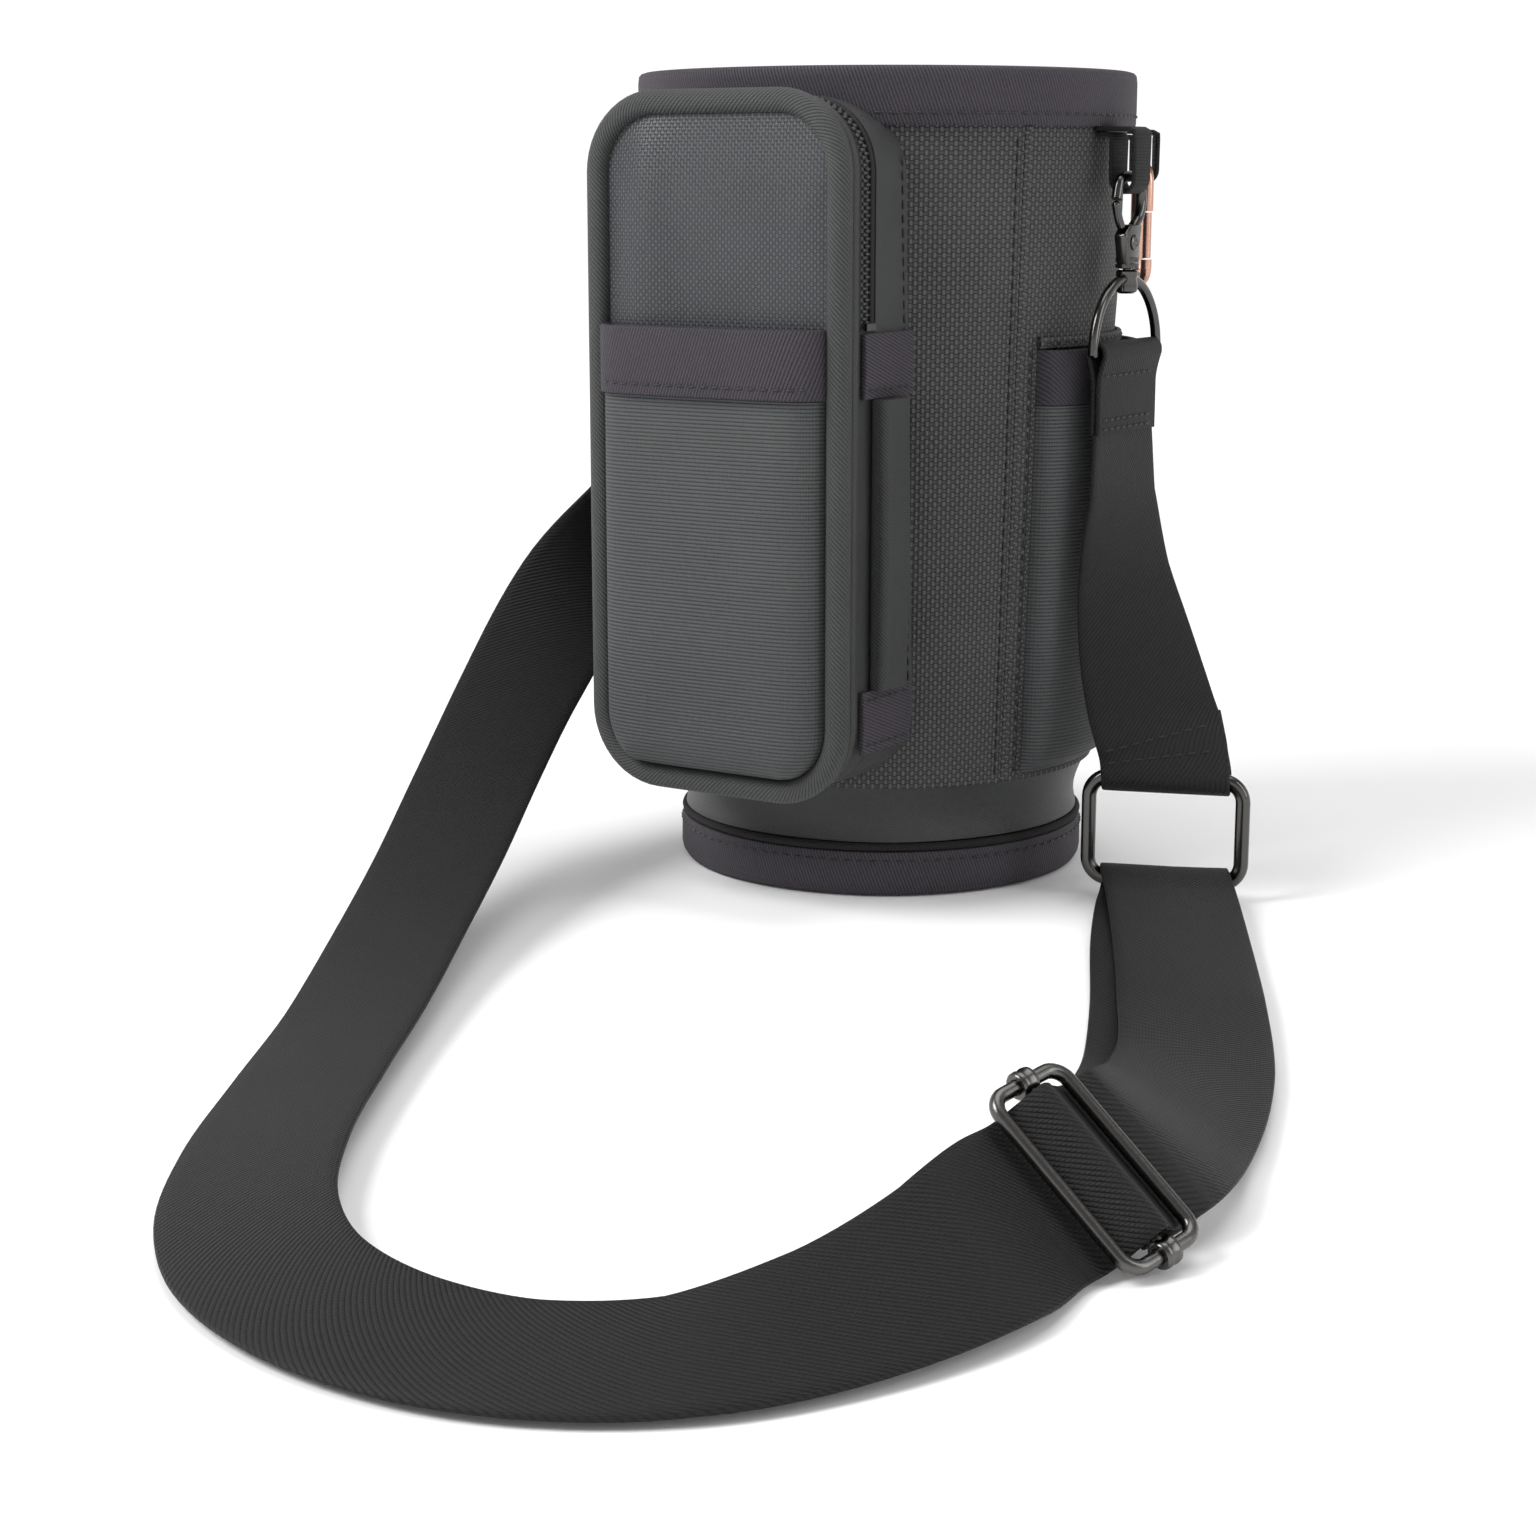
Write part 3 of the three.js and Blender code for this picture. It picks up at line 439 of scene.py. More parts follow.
room = {"floorSize": 60.0, "floorDrop": 0.0006, "world": 0.35, "horizon": 1.05, "key": 30.0, "side": 6.0,
        "top": 12.0}
bpy.context.scene.view_settings.view_transform = "Standard"
floorShape = bmesh.new()
bmesh.ops.create_grid(floorShape, x_segments=1, y_segments=1, size=room["floorSize"] / 2)
floorMesh = bpy.data.meshes.new("floor")
floorShape.to_mesh(floorMesh)
floorShape.free()
floor = bpy.data.objects.new("floor", floorMesh)
floor.location.z = startBounds[0][2] - room["floorDrop"]
bpy.context.scene.collection.objects.link(floor)
paper, paperTree, paperShader = newLook("floor paper")
paperShader.inputs["Base Color"].default_value = (0.92, 0.92, 0.92, 1)
paperShader.inputs["Roughness"].default_value = 0.9
floor.data.materials.append(paper)
# painted light: the paper glows more the further it is from the bag, so that it meets the white behind it
spot = addNode(paperTree, "TexCoord")
distance = addNode(paperTree, "VectorMath")
distance.operation = "LENGTH"
paperGlow = addNode(paperTree, "MapRange", From_Min=0.35, From_Max=2.2, To_Max=0.6)
paperGlow.interpolation_type = "SMOOTHSTEP"
paperTree.links.new(spot.outputs["Object"], distance.inputs[0])
paperTree.links.new(distance.outputs["Value"], paperGlow.inputs["Value"])
paperShader.inputs["Emission Color"].default_value = (1, 1, 1, 1)
# painted light: this emission brightens the paper away from the bag, as a lamp would
paperTree.links.new(paperGlow.outputs[0], paperShader.inputs["Emission Strength"])

world = bpy.data.worlds.new("studio")
world.use_nodes = True
world.node_tree.nodes["Background"].inputs["Color"].default_value = (1, 1, 1, 1)
# white near the horizon, softer overhead
sky = world.node_tree
skyPlace = addNode(sky, "TexCoord")
skyHeight = addNode(sky, "SeparateXYZ")
skyFade = addNode(sky, "MapRange", From_Min=0.22, From_Max=0.5, To_Min=room["horizon"], To_Max=room["world"])
skyFade.interpolation_type = "SMOOTHSTEP"
sky.links.new(skyPlace.outputs["Generated"], skyHeight.inputs[0])
sky.links.new(skyHeight.outputs[2], skyFade.inputs["Value"])
sky.links.new(skyFade.outputs[0], sky.nodes["Background"].inputs["Strength"])
bpy.context.scene.world = world


def addLamp(name, place, aim, size, power):
    lamp = bpy.data.lights.new(name, "AREA")
    lamp.shape = "RECTANGLE"
    lamp.size, lamp.size_y = size
    lamp.energy = power
    shown = bpy.data.objects.new(name, lamp)
    shown.location = place
    shown.rotation_euler = (Vector(aim) - Vector(place)).to_track_quat("-Z", "Y").to_euler()
    bpy.context.scene.collection.objects.link(shown)
    return shown


lamps = [
    addLamp("key", (-0.75, -1.15, 1.25), (0.05, -0.05, 0.12), (0.9, 0.9), room["key"]),
    addLamp("side", (1.35, 0.1, 0.75), (0.05, -0.05, 0.12), (0.5, 1.1), room["side"]),
    addLamp("top", (0.1, 0.2, 1.6), (0.05, -0.05, 0.0), (1.2, 1.2), room["top"]),
]


# ---------- body ----------
wallLow, wallHigh = boxOf("body_wall")
rimLow, rimHigh = boxOf("rim_binding")
baseHigh = boxOf("base_binding")[1]
body = {"footRadius": 67 * mm, "thick": 3 * mm, "ripple": 0.45 * mm}
wallSlope = (wallHigh.x - body["footRadius"]) / (wallHigh.z - wallLow.z)


def wallAt(z):
    return body["footRadius"] + (z - wallLow.z) * wallSlope


def rippled(point, amount, scale=28.0):
    # a slow unevenness, straight out from the bag's middle line
    out = Vector((point.x, point.y, 0)).normalized()
    return point + out * noise.noise(point * scale) * amount


def turnedPiece(name, profile, look, count=192, ripple=0.0, **more):
    bm = bmesh.new()
    sweepInto(bm, roundStations(count), profile)
    if ripple:
        for vert in bm.verts:
            if Vector((vert.co.x, vert.co.y, 0)).length > 0.01:
                vert.co = rippled(vert.co, ripple)
    return finishPiece(name, bm, look, **more)


def wallProfile():
    outer = []
    steps = 40
    for k in range(steps + 1):
        z = wallLow.z + (wallHigh.z - wallLow.z) * k / steps
        outer.append((wallAt(z), z))
    inner = [(r - body["thick"], z) for r, z in reversed(outer)]
    return outer + inner


turnedPiece("bag_wall", wallProfile(), "wall", ripple=body["ripple"], nodes=["body_wall"])

liningLow, liningHigh = boxOf("lining")
liningThick = 1.2 * mm
liningFoot = 58.0 * mm - liningThick
liningProfile = [
    (0.3 * mm, liningLow.z), (liningFoot, liningLow.z), (liningFoot, wallLow.z - 8 * mm),
    (wallAt(wallLow.z + 4 * mm) - 3.3 * mm, wallLow.z + 4 * mm), (liningHigh.x, liningHigh.z),
    (liningHigh.x - 1.2 * mm, liningHigh.z), (wallAt(wallLow.z + 4 * mm) - 4.5 * mm, wallLow.z + 4.4 * mm),
    (liningFoot - liningThick, wallLow.z - 7.6 * mm), (liningFoot - liningThick, liningLow.z + liningThick),
    (0.3 * mm, liningLow.z + liningThick),
]
turnedPiece("bag_lining", liningProfile, "lining", ripple=0.2 * mm, nodes=["lining"])


def rimProfile():
    out, inside = rimHigh.x, 70.0 * mm - 1.4 * mm
    low, top = rimLow.z, rimHigh.z
    return [
        (out - 1.4 * mm, low), (out - 0.5 * mm, low - 0.1 * mm), (out, low + 0.8 * mm),
        (out + 0.15 * mm, low + 5 * mm), (out + 0.15 * mm, top - 3 * mm), (out - 0.1 * mm, top - 0.9 * mm), (out - 0.8 * mm, top - 0.1 * mm),
        (out - 2 * mm, top + 0.25 * mm), (inside + 2.4 * mm, top + 0.1 * mm),
        (inside + 0.9 * mm, top - 0.5 * mm),
        (inside, top - 1.8 * mm), (inside, low + 0.5 * mm), (inside + 1.2 * mm, low + 0.3 * mm),
        (inside + 1.4 * mm, top - 2 * mm), (inside + 2.6 * mm, top - 1.2 * mm),
        (out - 2.4 * mm, top - 1.3 * mm),
        (out - 1.4 * mm, top - 2.6 * mm),
    ]


turnedPiece("bag_rim_binding", rimProfile(), "tape", ripple=0.25 * mm, nodes=["rim_binding"])


def roundLine(radius, z, start=0.0, end=360.0, count=240):
    stations = roundStations(count, start, end)
    points = [out * radius + upward * z for _, out, _ in stations]
    return points, [out for _, out, _ in stations]


stitched("rim_stitches", [roundLine(rimHigh.x + 0.25 * mm, rimLow.z + 3.2 * mm)])

coverHigh = boxOf("base_cover")[1]
turnedPiece("bag_base_cover", [
    (0.3 * mm, 0), (coverHigh.x - 0.6 * mm, 0), (coverHigh.x, 0.5 * mm), (coverHigh.x, coverHigh.z),
    (0.3 * mm, coverHigh.z),
], "wall", nodes=["base_cover"])
frame["nodes"]["base_board"].data.materials.clear()
frame["nodes"]["base_board"].data.materials.append(looks["board"])

bindIn = baseHigh.x - 1.4 * mm
turnedPiece("bag_base_binding", [
    (bindIn, 0), (baseHigh.x - 2.2 * mm, -0.1 * mm), (baseHigh.x - 1 * mm, 0.5 * mm),
    (baseHigh.x - 0.2 * mm, 1.8 * mm),
    (baseHigh.x + 0.1 * mm, 3.5 * mm), (baseHigh.x, baseHigh.z - 1.6 * mm),
    (baseHigh.x - 0.5 * mm, baseHigh.z - 0.2 * mm),
    (bindIn, baseHigh.z),
], "tape", ripple=0.25 * mm, nodes=["base_binding"])
stitched("base_stitches", [roundLine(baseHigh.x + 0.15 * mm, baseHigh.z - 2.6 * mm)])

cordLow, cordHigh = boxOf("foot_seam_cord")
cordMiddle = (cordLow.z + cordHigh.z) / 2
swept("foot_seam", [(out * (cordHigh.x - 1.1 * mm) + upward * cordMiddle, out, over)
                    for _, out, over in roundStations(180)],
      roundSection(2.3 * mm, 2.3 * mm, 10), "cord", nodes=["foot_seam_cord"])

footLow, footHigh = boxOf("foot_gusset")


def footProfile():
    waist, low, high = 61.6 * mm, footLow.z, footHigh.z
    outer = []
    for k in range(13):
        t = k / 12
        z = low + (high - low) * t
        r = waist + (footHigh.x - waist) * max(0, (t - 0.35) / 0.65) ** 1.6 + 0.8 * mm * max(0, 1 - t * 4)
        outer.append((r, z))
    return outer + [(r - 2.4 * mm, z) for r, z in reversed(outer)]


turnedPiece("bag_foot_gusset", footProfile(), "gusset", ripple=0.7 * mm, nodes=["foot_gusset"])


def uprightLine(degrees, z0, z1, lift=0.25 * mm, steps=60):
    a = math.radians(degrees)
    out = Vector((math.sin(a), -math.cos(a), 0))
    points = []
    for k in range(steps + 1):
        z = z0 + (z1 - z0) * k / steps
        points.append(rippled(out * wallAt(z) + upward * z, body["ripple"]) + out * lift)
    return points, [out] * len(points)


def seamRidge(name, degrees, z0, z1, width):
    # a folded seam that stands just proud of the wall
    points, outs = uprightLine(degrees, z0, z1, 0.1 * mm)
    side = upward.cross(outs[0])
    stations = [(point, side, out) for point, out in zip(points, outs)]
    swept(name, stations, roundSection(width, 0.9 * mm, 12), "wall", closed=False, body="root")


seamRows = []
for k, degrees in enumerate((64.0, 206.0)):
    seamRidge(f"wall_seam_{k + 1}", degrees, wallLow.z + 0.5 * mm, rimLow.z - 0.2 * mm, 2.2 * mm)
    seamRows.append(uprightLine(degrees - 2.6, wallLow.z + 2 * mm, rimLow.z - 1 * mm))
stitched("wall_stitches", seamRows)
print("body made")


# ---------- zip pocket ----------
pipeLow, pipeHigh = boxOf("pocket_piping")
pocket = {"corner": 23 * mm, "piping": 6.4 * mm, "panelInset": 6.7 * mm}
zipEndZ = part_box("zip_coil")[0][2]


def outlinePoints(inset, step=5 * mm, arcSteps=12):
    # starts on the left where the zip ends and goes up, over and round
    half = pipeHigh.x - inset
    low, top = pipeLow.z + inset, pipeHigh.z - inset
    corner = pocket["corner"] - inset
    spots = []

    def straight(a, b):
        count = max(2, round(math.dist(a, b) / step))
        for k in range(count):
            spots.append((a[0] + (b[0] - a[0]) * k / count, a[1] + (b[1] - a[1]) * k / count))

    def arc(x, z, start):
        for k in range(arcSteps):
            a = math.radians(start - 90 * k / arcSteps)
            spots.append((x + corner * math.cos(a), z + corner * math.sin(a)))
    straight((-half, zipEndZ), (-half, top - corner))
    arc(-half + corner, top - corner, 180)
    straight((-half + corner, top), (half - corner, top))
    arc(half - corner, top - corner, 90)
    straight((half, top - corner), (half, zipEndZ))
    zipStop = len(spots)
    straight((half, zipEndZ), (half, low + corner))
    arc(half - corner, low + corner, 0)
    straight((half - corner, low), (-half + corner, low))
    arc(-half + corner, low + corner, -90)
    straight((-half, low + corner), (-half, zipEndZ))
    return spots, zipStop


def outlineStations(inset, y, part="whole"):
    spots, stop = outlinePoints(inset)
    count = len(spots)
    stations = []
    for k, (x, z) in enumerate(spots):
        ahead, behind = spots[(k + 1) % count], spots[k - 1]
        out = Vector((-(ahead[1] - behind[1]), 0, ahead[0] - behind[0])).normalized()
        stations.append((Vector((x, y, z)), out, Vector((0, -1, 0))))
    if part == "zip":
        return stations[:stop + 1]
    if part == "below":
        return stations[stop:] + stations[:1]
    return stations


pipeMiddle = (pipeLow.y + pipeHigh.y) / 2
swept("pocket_edge_piping", outlineStations(pocket["piping"] / 2, pipeMiddle),
      roundSection(pocket["piping"] + 0.5 * mm, pipeHigh.y - pipeLow.y, 20, 2.3), "piping",
      nodes=["pocket_piping"])
weltLow, weltHigh = boxOf("pocket_welt")
swept("pocket_edge_welt", outlineStations(0.9 * mm + 2 * mm, (weltLow.y + weltHigh.y) / 2),
      roundSection(4.4 * mm, weltHigh.y - weltLow.y + 0.2 * mm, 14, 2.4), "gusset", nodes=["pocket_welt"])

for node in ("zip_tape_front", "zip_tape_rear"):
    low, high = boxOf(node)
    swept(node + "_cloth", outlineStations(2.6 * mm, (low.y + high.y) / 2, "zip"),
          slabSection(-0.6 * mm, 0.6 * mm, (low.y - high.y) / 2, (high.y - low.y) / 2, 0.4 * mm),
          "zipTape", closed=False, nodes=[node])


def coilTeeth():
    # two rows of small nylon turns that meet along the middle
    low, high = boxOf("zip_coil")
    middle = (low.y + high.y) / 2
    bm = bmesh.new()
    stations = outlineStations(2.4 * mm, middle, "zip")
    runs = runLengths([point for point, _, _ in stations])
    pitch = 2.1 * mm
    at, k = pitch, 0
    count = 0
    while at < runs[-1] - pitch:
        while runs[k + 1] < at:
            k += 1
        share = (at - runs[k]) / (runs[k + 1] - runs[k])
        point = stations[k][0].lerp(stations[k + 1][0], share)
        out = stations[k][1].lerp(stations[k + 1][1], share).normalized()
        side = Vector((0, -1, 0))
        along = out.cross(side)
        shift = 0.75 * mm if count % 2 else -0.75 * mm
        turn = Matrix((along, out, side)).transposed().to_4x4()
        sizes = Matrix.Diagonal((0.62 * mm, 1.0 * mm, 1.5 * mm, 1))
        bmesh.ops.create_icosphere(bm, subdivisions=1, radius=1,
                                   matrix=Matrix.Translation(point + side * shift) @ turn @ sizes)
        at += pitch / 2
        count += 1
    sweepInto(bm, outlineStations(2.9 * mm, middle, "zip"),
              slabSection(-0.7 * mm, 0.3 * mm, (low.y - high.y) / 2, (high.y - low.y) / 2, 0.3 * mm),
              closed=False)
    finishPiece("zip_coil_teeth", bm, "coil", nodes=["zip_coil"], sharp=80)


coilTeeth()


def bagSkin(x, z):
    # how far forward the bag's own surface comes at this place
    radius = wallAt(z) + 0.3 * mm
    if z > rimLow.z - 0.5 * mm:
        radius = rimHigh.x + 0.9 * mm
    return -math.sqrt(max(radius ** 2 - x ** 2, 0))


def gussetPiece(name, node, yFront, reach, look, part="whole", closed=True):
    # a side wall from a front line back to the bag, or by a fixed reach
    stations = outlineStations(1.8 * mm, 0.0, part)
    stops = stations + stations[:1] if closed else stations
    rowCount = 8
    us = runLengths([point for point, _, _ in stops])
    ring = [(0, k / rowCount) for k in range(rowCount + 1)] + [(1, 1 - k / rowCount)
                                                               for k in range(rowCount + 1)]
    ring.append(ring[0])
    vs = [0.0]
    for a, b in zip(ring, ring[1:]):
        vs.append(vs[-1] + (3 * mm * abs(a[0] - b[0]) + 26 * mm * abs(a[1] - b[1])))

    def place(i, j):
        point, out, _ = stops[i]
        inward, back = ring[j]
        depth = reach or max(bagSkin(point.x, point.z) - yFront, 0.25 * mm)
        sag = 0.5 * mm * noise.noise(Vector((point.x, point.z, back * 0.02)) * 45) * math.sin(math.pi * back)
        spot = point - out * (inward * 3 * mm - sag)
        spot.y = yFront + depth * back
        return spot
    bm = bmesh.new()
    layGrid(bm, us, vs, place)
    bmesh.ops.remove_doubles(bm, verts=bm.verts, dist=0.000002)
    if not closed:
        bmesh.ops.holes_fill(bm, edges=openEdges(bm))
    finishPiece(name, bm, look, nodes=[node])


lowerLow, lowerHigh = boxOf("pocket_side_lower")
gussetPiece("pocket_gusset_lower", "pocket_side_lower", lowerLow.y, lowerHigh.y - lowerLow.y, "gusset",
            "below", False)
rearLow = boxOf("pocket_side_rear")[0]
gussetPiece("pocket_gusset_rear", "pocket_side_rear", rearLow.y, None, "gusset")

rearRows = []
for end in (-1, 1):
    edge = end * (pipeHigh.x - 1.8 * mm)
    spots = [(pipeLow.z + 20 * mm) + (rimLow.z - 6 * mm - pipeLow.z - 20 * mm) * k / 50 for k in range(51)]
    rearRows.append(([Vector((edge + end * 0.35 * mm, bagSkin(edge, z) - 2.6 * mm, z)) for z in spots],
                     [Vector((end, 0, 0))] * len(spots)))
stitched("pocket_gusset_stitches", rearRows)

panelLow, panelHigh = boxOf("pocket_front_panel")
panel = {"crown": 1.6 * mm, "fold": 2.4 * mm, "foldAt": -24 * mm, "thick": 2.0 * mm}


def panelPiece():
    # rings that shrink towards the middle, front then back
    spots, _ = outlinePoints(pocket["panelInset"])
    count = len(spots)
    middle = Vector(((panelLow.x + panelHigh.x) / 2, 0, (panelLow.z + panelHigh.z) / 2))
    shares = [1.0, 0.985, 0.96, 0.92, 0.86, 0.78, 0.68, 0.56, 0.42, 0.28, 0.14, 0.01]
    rows = [(s, 0) for s in shares] + [(s, 1) for s in reversed(shares)]
    bm = bmesh.new()
    us = [k / count for k in range(count + 1)]

    def place(i, j):
        x, z = spots[i % count]
        share, back = rows[j]
        spot = middle + (Vector((x, 0, z)) - middle) * share
        rise = panel["crown"] * (1 - share ** 6)
        rise += panel["fold"] * math.exp(-((spot.x - panel["foldAt"]) / (9 * mm)) ** 2) * (1 - share ** 8)
        rise += 0.5 * mm * noise.noise(spot * 22) * (1 - share ** 4)
        spot.y = panelLow.y + 0.3 * mm - rise + back * panel["thick"]
        return spot
    layGrid(bm, us, range(len(rows)), place)
    bmesh.ops.remove_doubles(bm, verts=bm.verts, dist=0.000002)
    bmesh.ops.holes_fill(bm, edges=openEdges(bm))
    uv = bm.loops.layers.uv["cloth"]
    for face in bm.faces:
        for loop in face.loops:
            loop[uv].uv = (loop.vert.co.x, loop.vert.co.z)
    finishPiece("pocket_panel", bm, "pocket", nodes=["pocket_front_panel"])


panelPiece()
print("pocket made")


# ---------- front slip pocket ----------
slipLow, slipHigh = boxOf("slip_pocket_panel")
bindLow, bindHigh = boxOf("slip_pocket_binding")
slip = {"thick": 1.3 * mm, "bulge": 1.2 * mm, "corner": 16 * mm}


def slipDepth(x, z, full):
    # deepest in the middle, drawn back to the panel at its sewn edge
    half = slipHigh.x
    side = max(0.0, 1 - (abs(x) / half) ** 7) ** 0.5
    foot = max(0.0, 1 - max(0.0, (slipLow.z + 14 * mm - z) / (14 * mm)) ** 3) ** 0.5
    return full * min(side, foot)


def slipPiece():
    cols, rows = 44, 60
    half = slipHigh.x
    low, top = slipLow.z, slipHigh.z
    back = slipHigh.y
    full = back - slipLow.y
    xs = [-math.cos(math.pi * k / cols) for k in range(cols + 1)]

    def front(i, j, sink):
        z = low + (top - low) * j / rows
        squeeze = 1.0
        if z < low + slip["corner"]:
            cut = 1 - math.sqrt(max(0, 1 - ((low + slip["corner"] - z) / slip["corner"]) ** 2))
            squeeze = 1 - cut * slip["corner"] / half
        x = xs[i] * half * squeeze
        depth = slipDepth(xs[i] * half, z, full)
        depth += slip["bulge"] * (1 - xs[i] ** 2) * math.sin(math.pi * j / rows)
        depth += 0.5 * mm * noise.noise(Vector((x, 0, z)) * 30) * (1 - xs[i] ** 4)
        y = back - max(depth - sink * slip["thick"], 0)
        return Vector((x * (1 - sink * 0.03), y, z + sink * slip["thick"] * (j == 0)))
    us = [x * half for x in xs]
    vs = [(top - low) * k / rows for k in range(rows + 1)]
    bm = bmesh.new()
    layGrid(bm, us, vs, lambda i, j: front(i, j, 0))
    layGrid(bm, us, vs, lambda i, j: front(i, j, 1))
    bmesh.ops.bridge_loops(bm, edges=openEdges(bm))
    finishPiece("slip_pocket_cloth", bm, "ribbed", nodes=["slip_pocket_panel"])


slipPiece()


def slipBinding():
    # follows the pocket's mouth from side to side
    full = bindHigh.y - bindLow.y
    half = bindHigh.x
    points = []
    for k in range(61):
        x = -math.cos(math.pi * k / 60) * half
        depth = full * max(0.0, 1 - (abs(x) / half) ** 7) ** 0.5 + 0.9 * mm * (1 - (x / half) ** 2)
        points.append(Vector((x, bindHigh.y - depth, 0)))
    stations = wireStations(points, upward)
    middle = (bindLow.z + bindHigh.z) / 2
    height = bindHigh.z - bindLow.z
    stations = [(point + upward * middle, out, over) for point, out, over in stations]
    swept("slip_pocket_tape", stations, slabSection(-height / 2, height / 2, -0.9 * mm, 0.9 * mm, 0.7 * mm),
          "tape", closed=False, nodes=["slip_pocket_binding"])
    return stations


mouth = slipBinding()
mouthLine = [point + Vector((0, -1.05 * mm, -(bindHigh.z - bindLow.z) / 2 + 3.2 * mm)) for point, _,
             _ in mouth]
stitched("slip_pocket_stitches", [(mouthLine[4:-4], [Vector((0, -1, 0))] * len(mouthLine[4:-4]))])
print("slip pocket made")


# ---------- grab strip and its tapes ----------
def roundedBlock(name, node, look, corner, bulge, faces):
    # a soft-edged block as tall as the node, with its outer face bowed
    low, high = boxOf(node)
    middle = (low + high) / 2
    stations = uprightStations(middle.x, middle.y, low.z, high.z, 24)
    section = slabSection((low.x - high.x) / 2, (high.x - low.x) / 2, (low.y - high.y) / 2,
                          (high.y - low.y) / 2,
                          corner, faces)
    bm = bmesh.new()
    sweepInto(bm, stations, section, closed=False)
    for vert in bm.verts:
        t = (vert.co.z - low.z) / (high.z - low.z)
        if vert.co.x > middle.x:
            vert.co.x += bulge * math.sin(math.pi * t)
    finishPiece(name, bm, look, nodes=[node])


roundedBlock("grab_tape_upper", "side_tape_upper", "tape", 0.5 * mm, 0.3 * mm, 3)
roundedBlock("grab_tape_lower", "side_tape_lower", "tape", 0.5 * mm, 0.3 * mm, 3)
roundedBlock("grab_strip_cloth", "grab_strip", "strip", 2.0 * mm, 0.6 * mm, 6)


def tapeRow(node, z, inset=0.6 * mm):
    low, high = boxOf(node)
    count = 12
    points = [Vector((high.x + 0.2 * mm, low.y + inset + (high.y - low.y - 2 * inset) * k / count, z))
              for k in range(count + 1)]
    return points, [Vector((1, 0, 0))] * len(points)


stripLow, stripHigh = boxOf("grab_strip")
upperTapeLow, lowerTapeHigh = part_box("side_tape_upper")[0][2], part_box("side_tape_lower")[1][2]
stripEdge = [Vector((stripHigh.x - 0.1 * mm, stripHigh.y - 2.6 * mm,
                     stripLow.z + (stripHigh.z - stripLow.z) * k / 20))
             for k in range(21)]
stitched("grab_stitches", [
    tapeRow("side_tape_upper", upperTapeLow + 2.6 * mm), tapeRow("side_tape_lower", lowerTapeHigh - 2.6 * mm),
    tapeRow("side_tape_lower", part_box("side_tape_lower")[0][2] + 2.2 * mm),
    (stripEdge, [Vector((1, 0.4, 0)).normalized()] * len(stripEdge)),
])


# ---------- side slip pocket ----------
sideLow, sideHigh = boxOf("side_pocket_panel")
mouthLow, mouthHigh = boxOf("side_pocket_binding")
side = {"from": 69.0, "to": 159.0, "room": 5.7 * mm, "thick": 1.4 * mm, "edge": 2.0}


def sideBand(name, node, z0, z1, look, depthAt, thick, rows=30, floor=False):
    # a band of cloth round the wall, sewn down at both ends
    cols = 64
    bm = bmesh.new()

    def layer(i, j, sink):
        t = i / cols
        degrees = side["from"] + (side["to"] - side["from"]) * t
        z = z0 + (z1 - z0) * j / rows
        ends = max(0.0, 1 - abs(2 * t - 1) ** 10) ** 0.5
        reach = depthAt * ends
        if floor:
            reach *= max(0.0, 1 - max(0.0, (z0 + 9 * mm - z) / (9 * mm)) ** 2) ** 0.5
        reach = max(reach - sink * thick, 0.35 * mm * (1 - sink)) + 0.25 * mm
        a = math.radians(degrees)
        out = Vector((math.sin(a), -math.cos(a), 0))
        bow = 0.5 * mm * noise.noise(Vector((degrees * 0.03, z * 20, 0))) * ends
        return out * (wallAt(z) + reach + bow) + upward * z
    us = [math.radians((side["to"] - side["from"]) * i / cols) * 75 * mm for i in range(cols + 1)]
    vs = [(z1 - z0) * j / rows for j in range(rows + 1)]
    layGrid(bm, us, vs, lambda i, j: layer(i, j, 0))
    layGrid(bm, us, vs, lambda i, j: layer(i, j, 1))
    bmesh.ops.bridge_loops(bm, edges=openEdges(bm))
    finishPiece(name, bm, look, nodes=[node])


sideBand("side_pocket_cloth", "side_pocket_panel", sideLow.z, sideHigh.z, "ribbed",
         side["room"] + side["thick"], side["thick"], floor=True)
sideBand("side_pocket_tape", "side_pocket_binding", mouthLow.z, mouthHigh.z, "tapeTwill",
         side["room"] + side["thick"] + 0.4 * mm, side["thick"] + 0.3 * mm, 10)
topWelt = boxOf("side_pocket_welt")[0].z
stationsRound = roundStations(60, side["from"], side["to"])
swept("side_pocket_seam", [(out * (wallAt(topWelt) + 1.1 * mm) + upward * (topWelt + 1.7 * mm), out, over)
                           for _, out, over in stationsRound],
      slabSection(-0.9 * mm, 0.9 * mm, -1.7 * mm, 1.7 * mm, 0.7 * mm), "wall", closed=False,
      nodes=["side_pocket_welt"])
sideRows = [roundLine(wallAt(topWelt) + 2.05 * mm, topWelt + 1.9 * mm, side["from"] + 1, side["to"] - 1, 80)]
sideRows.append(uprightLine(side["from"] - 1.6, wallLow.z + 2 * mm, topWelt + 3 * mm))
stitched("side_pocket_stitches", sideRows)
seamRidge("side_pocket_edge", side["from"] - 0.4, wallLow.z + 0.5 * mm, topWelt + 3 * mm, 1.6 * mm)


# ---------- strap hardware ----------
def turnedTo(degrees):
    return Matrix.Rotation(math.radians(degrees), 4, "Z")


def hardwarePlace(node):
    # the piece's own middle line, drawn facing the front, and how far round it sits
    low, high = boxOf(node)
    middle = (low + high) / 2
    return round(math.degrees(math.atan2(middle.y, middle.x)) + 90), Vector((middle.x, middle.y)).length


def wireInto(bm, points, radius, closed=False, side=Vector((0, 1, 0))):
    stations = wireStations(points, side, closed)
    sweepInto(bm, stations, roundSection(radius * 2, radius * 2), closed)


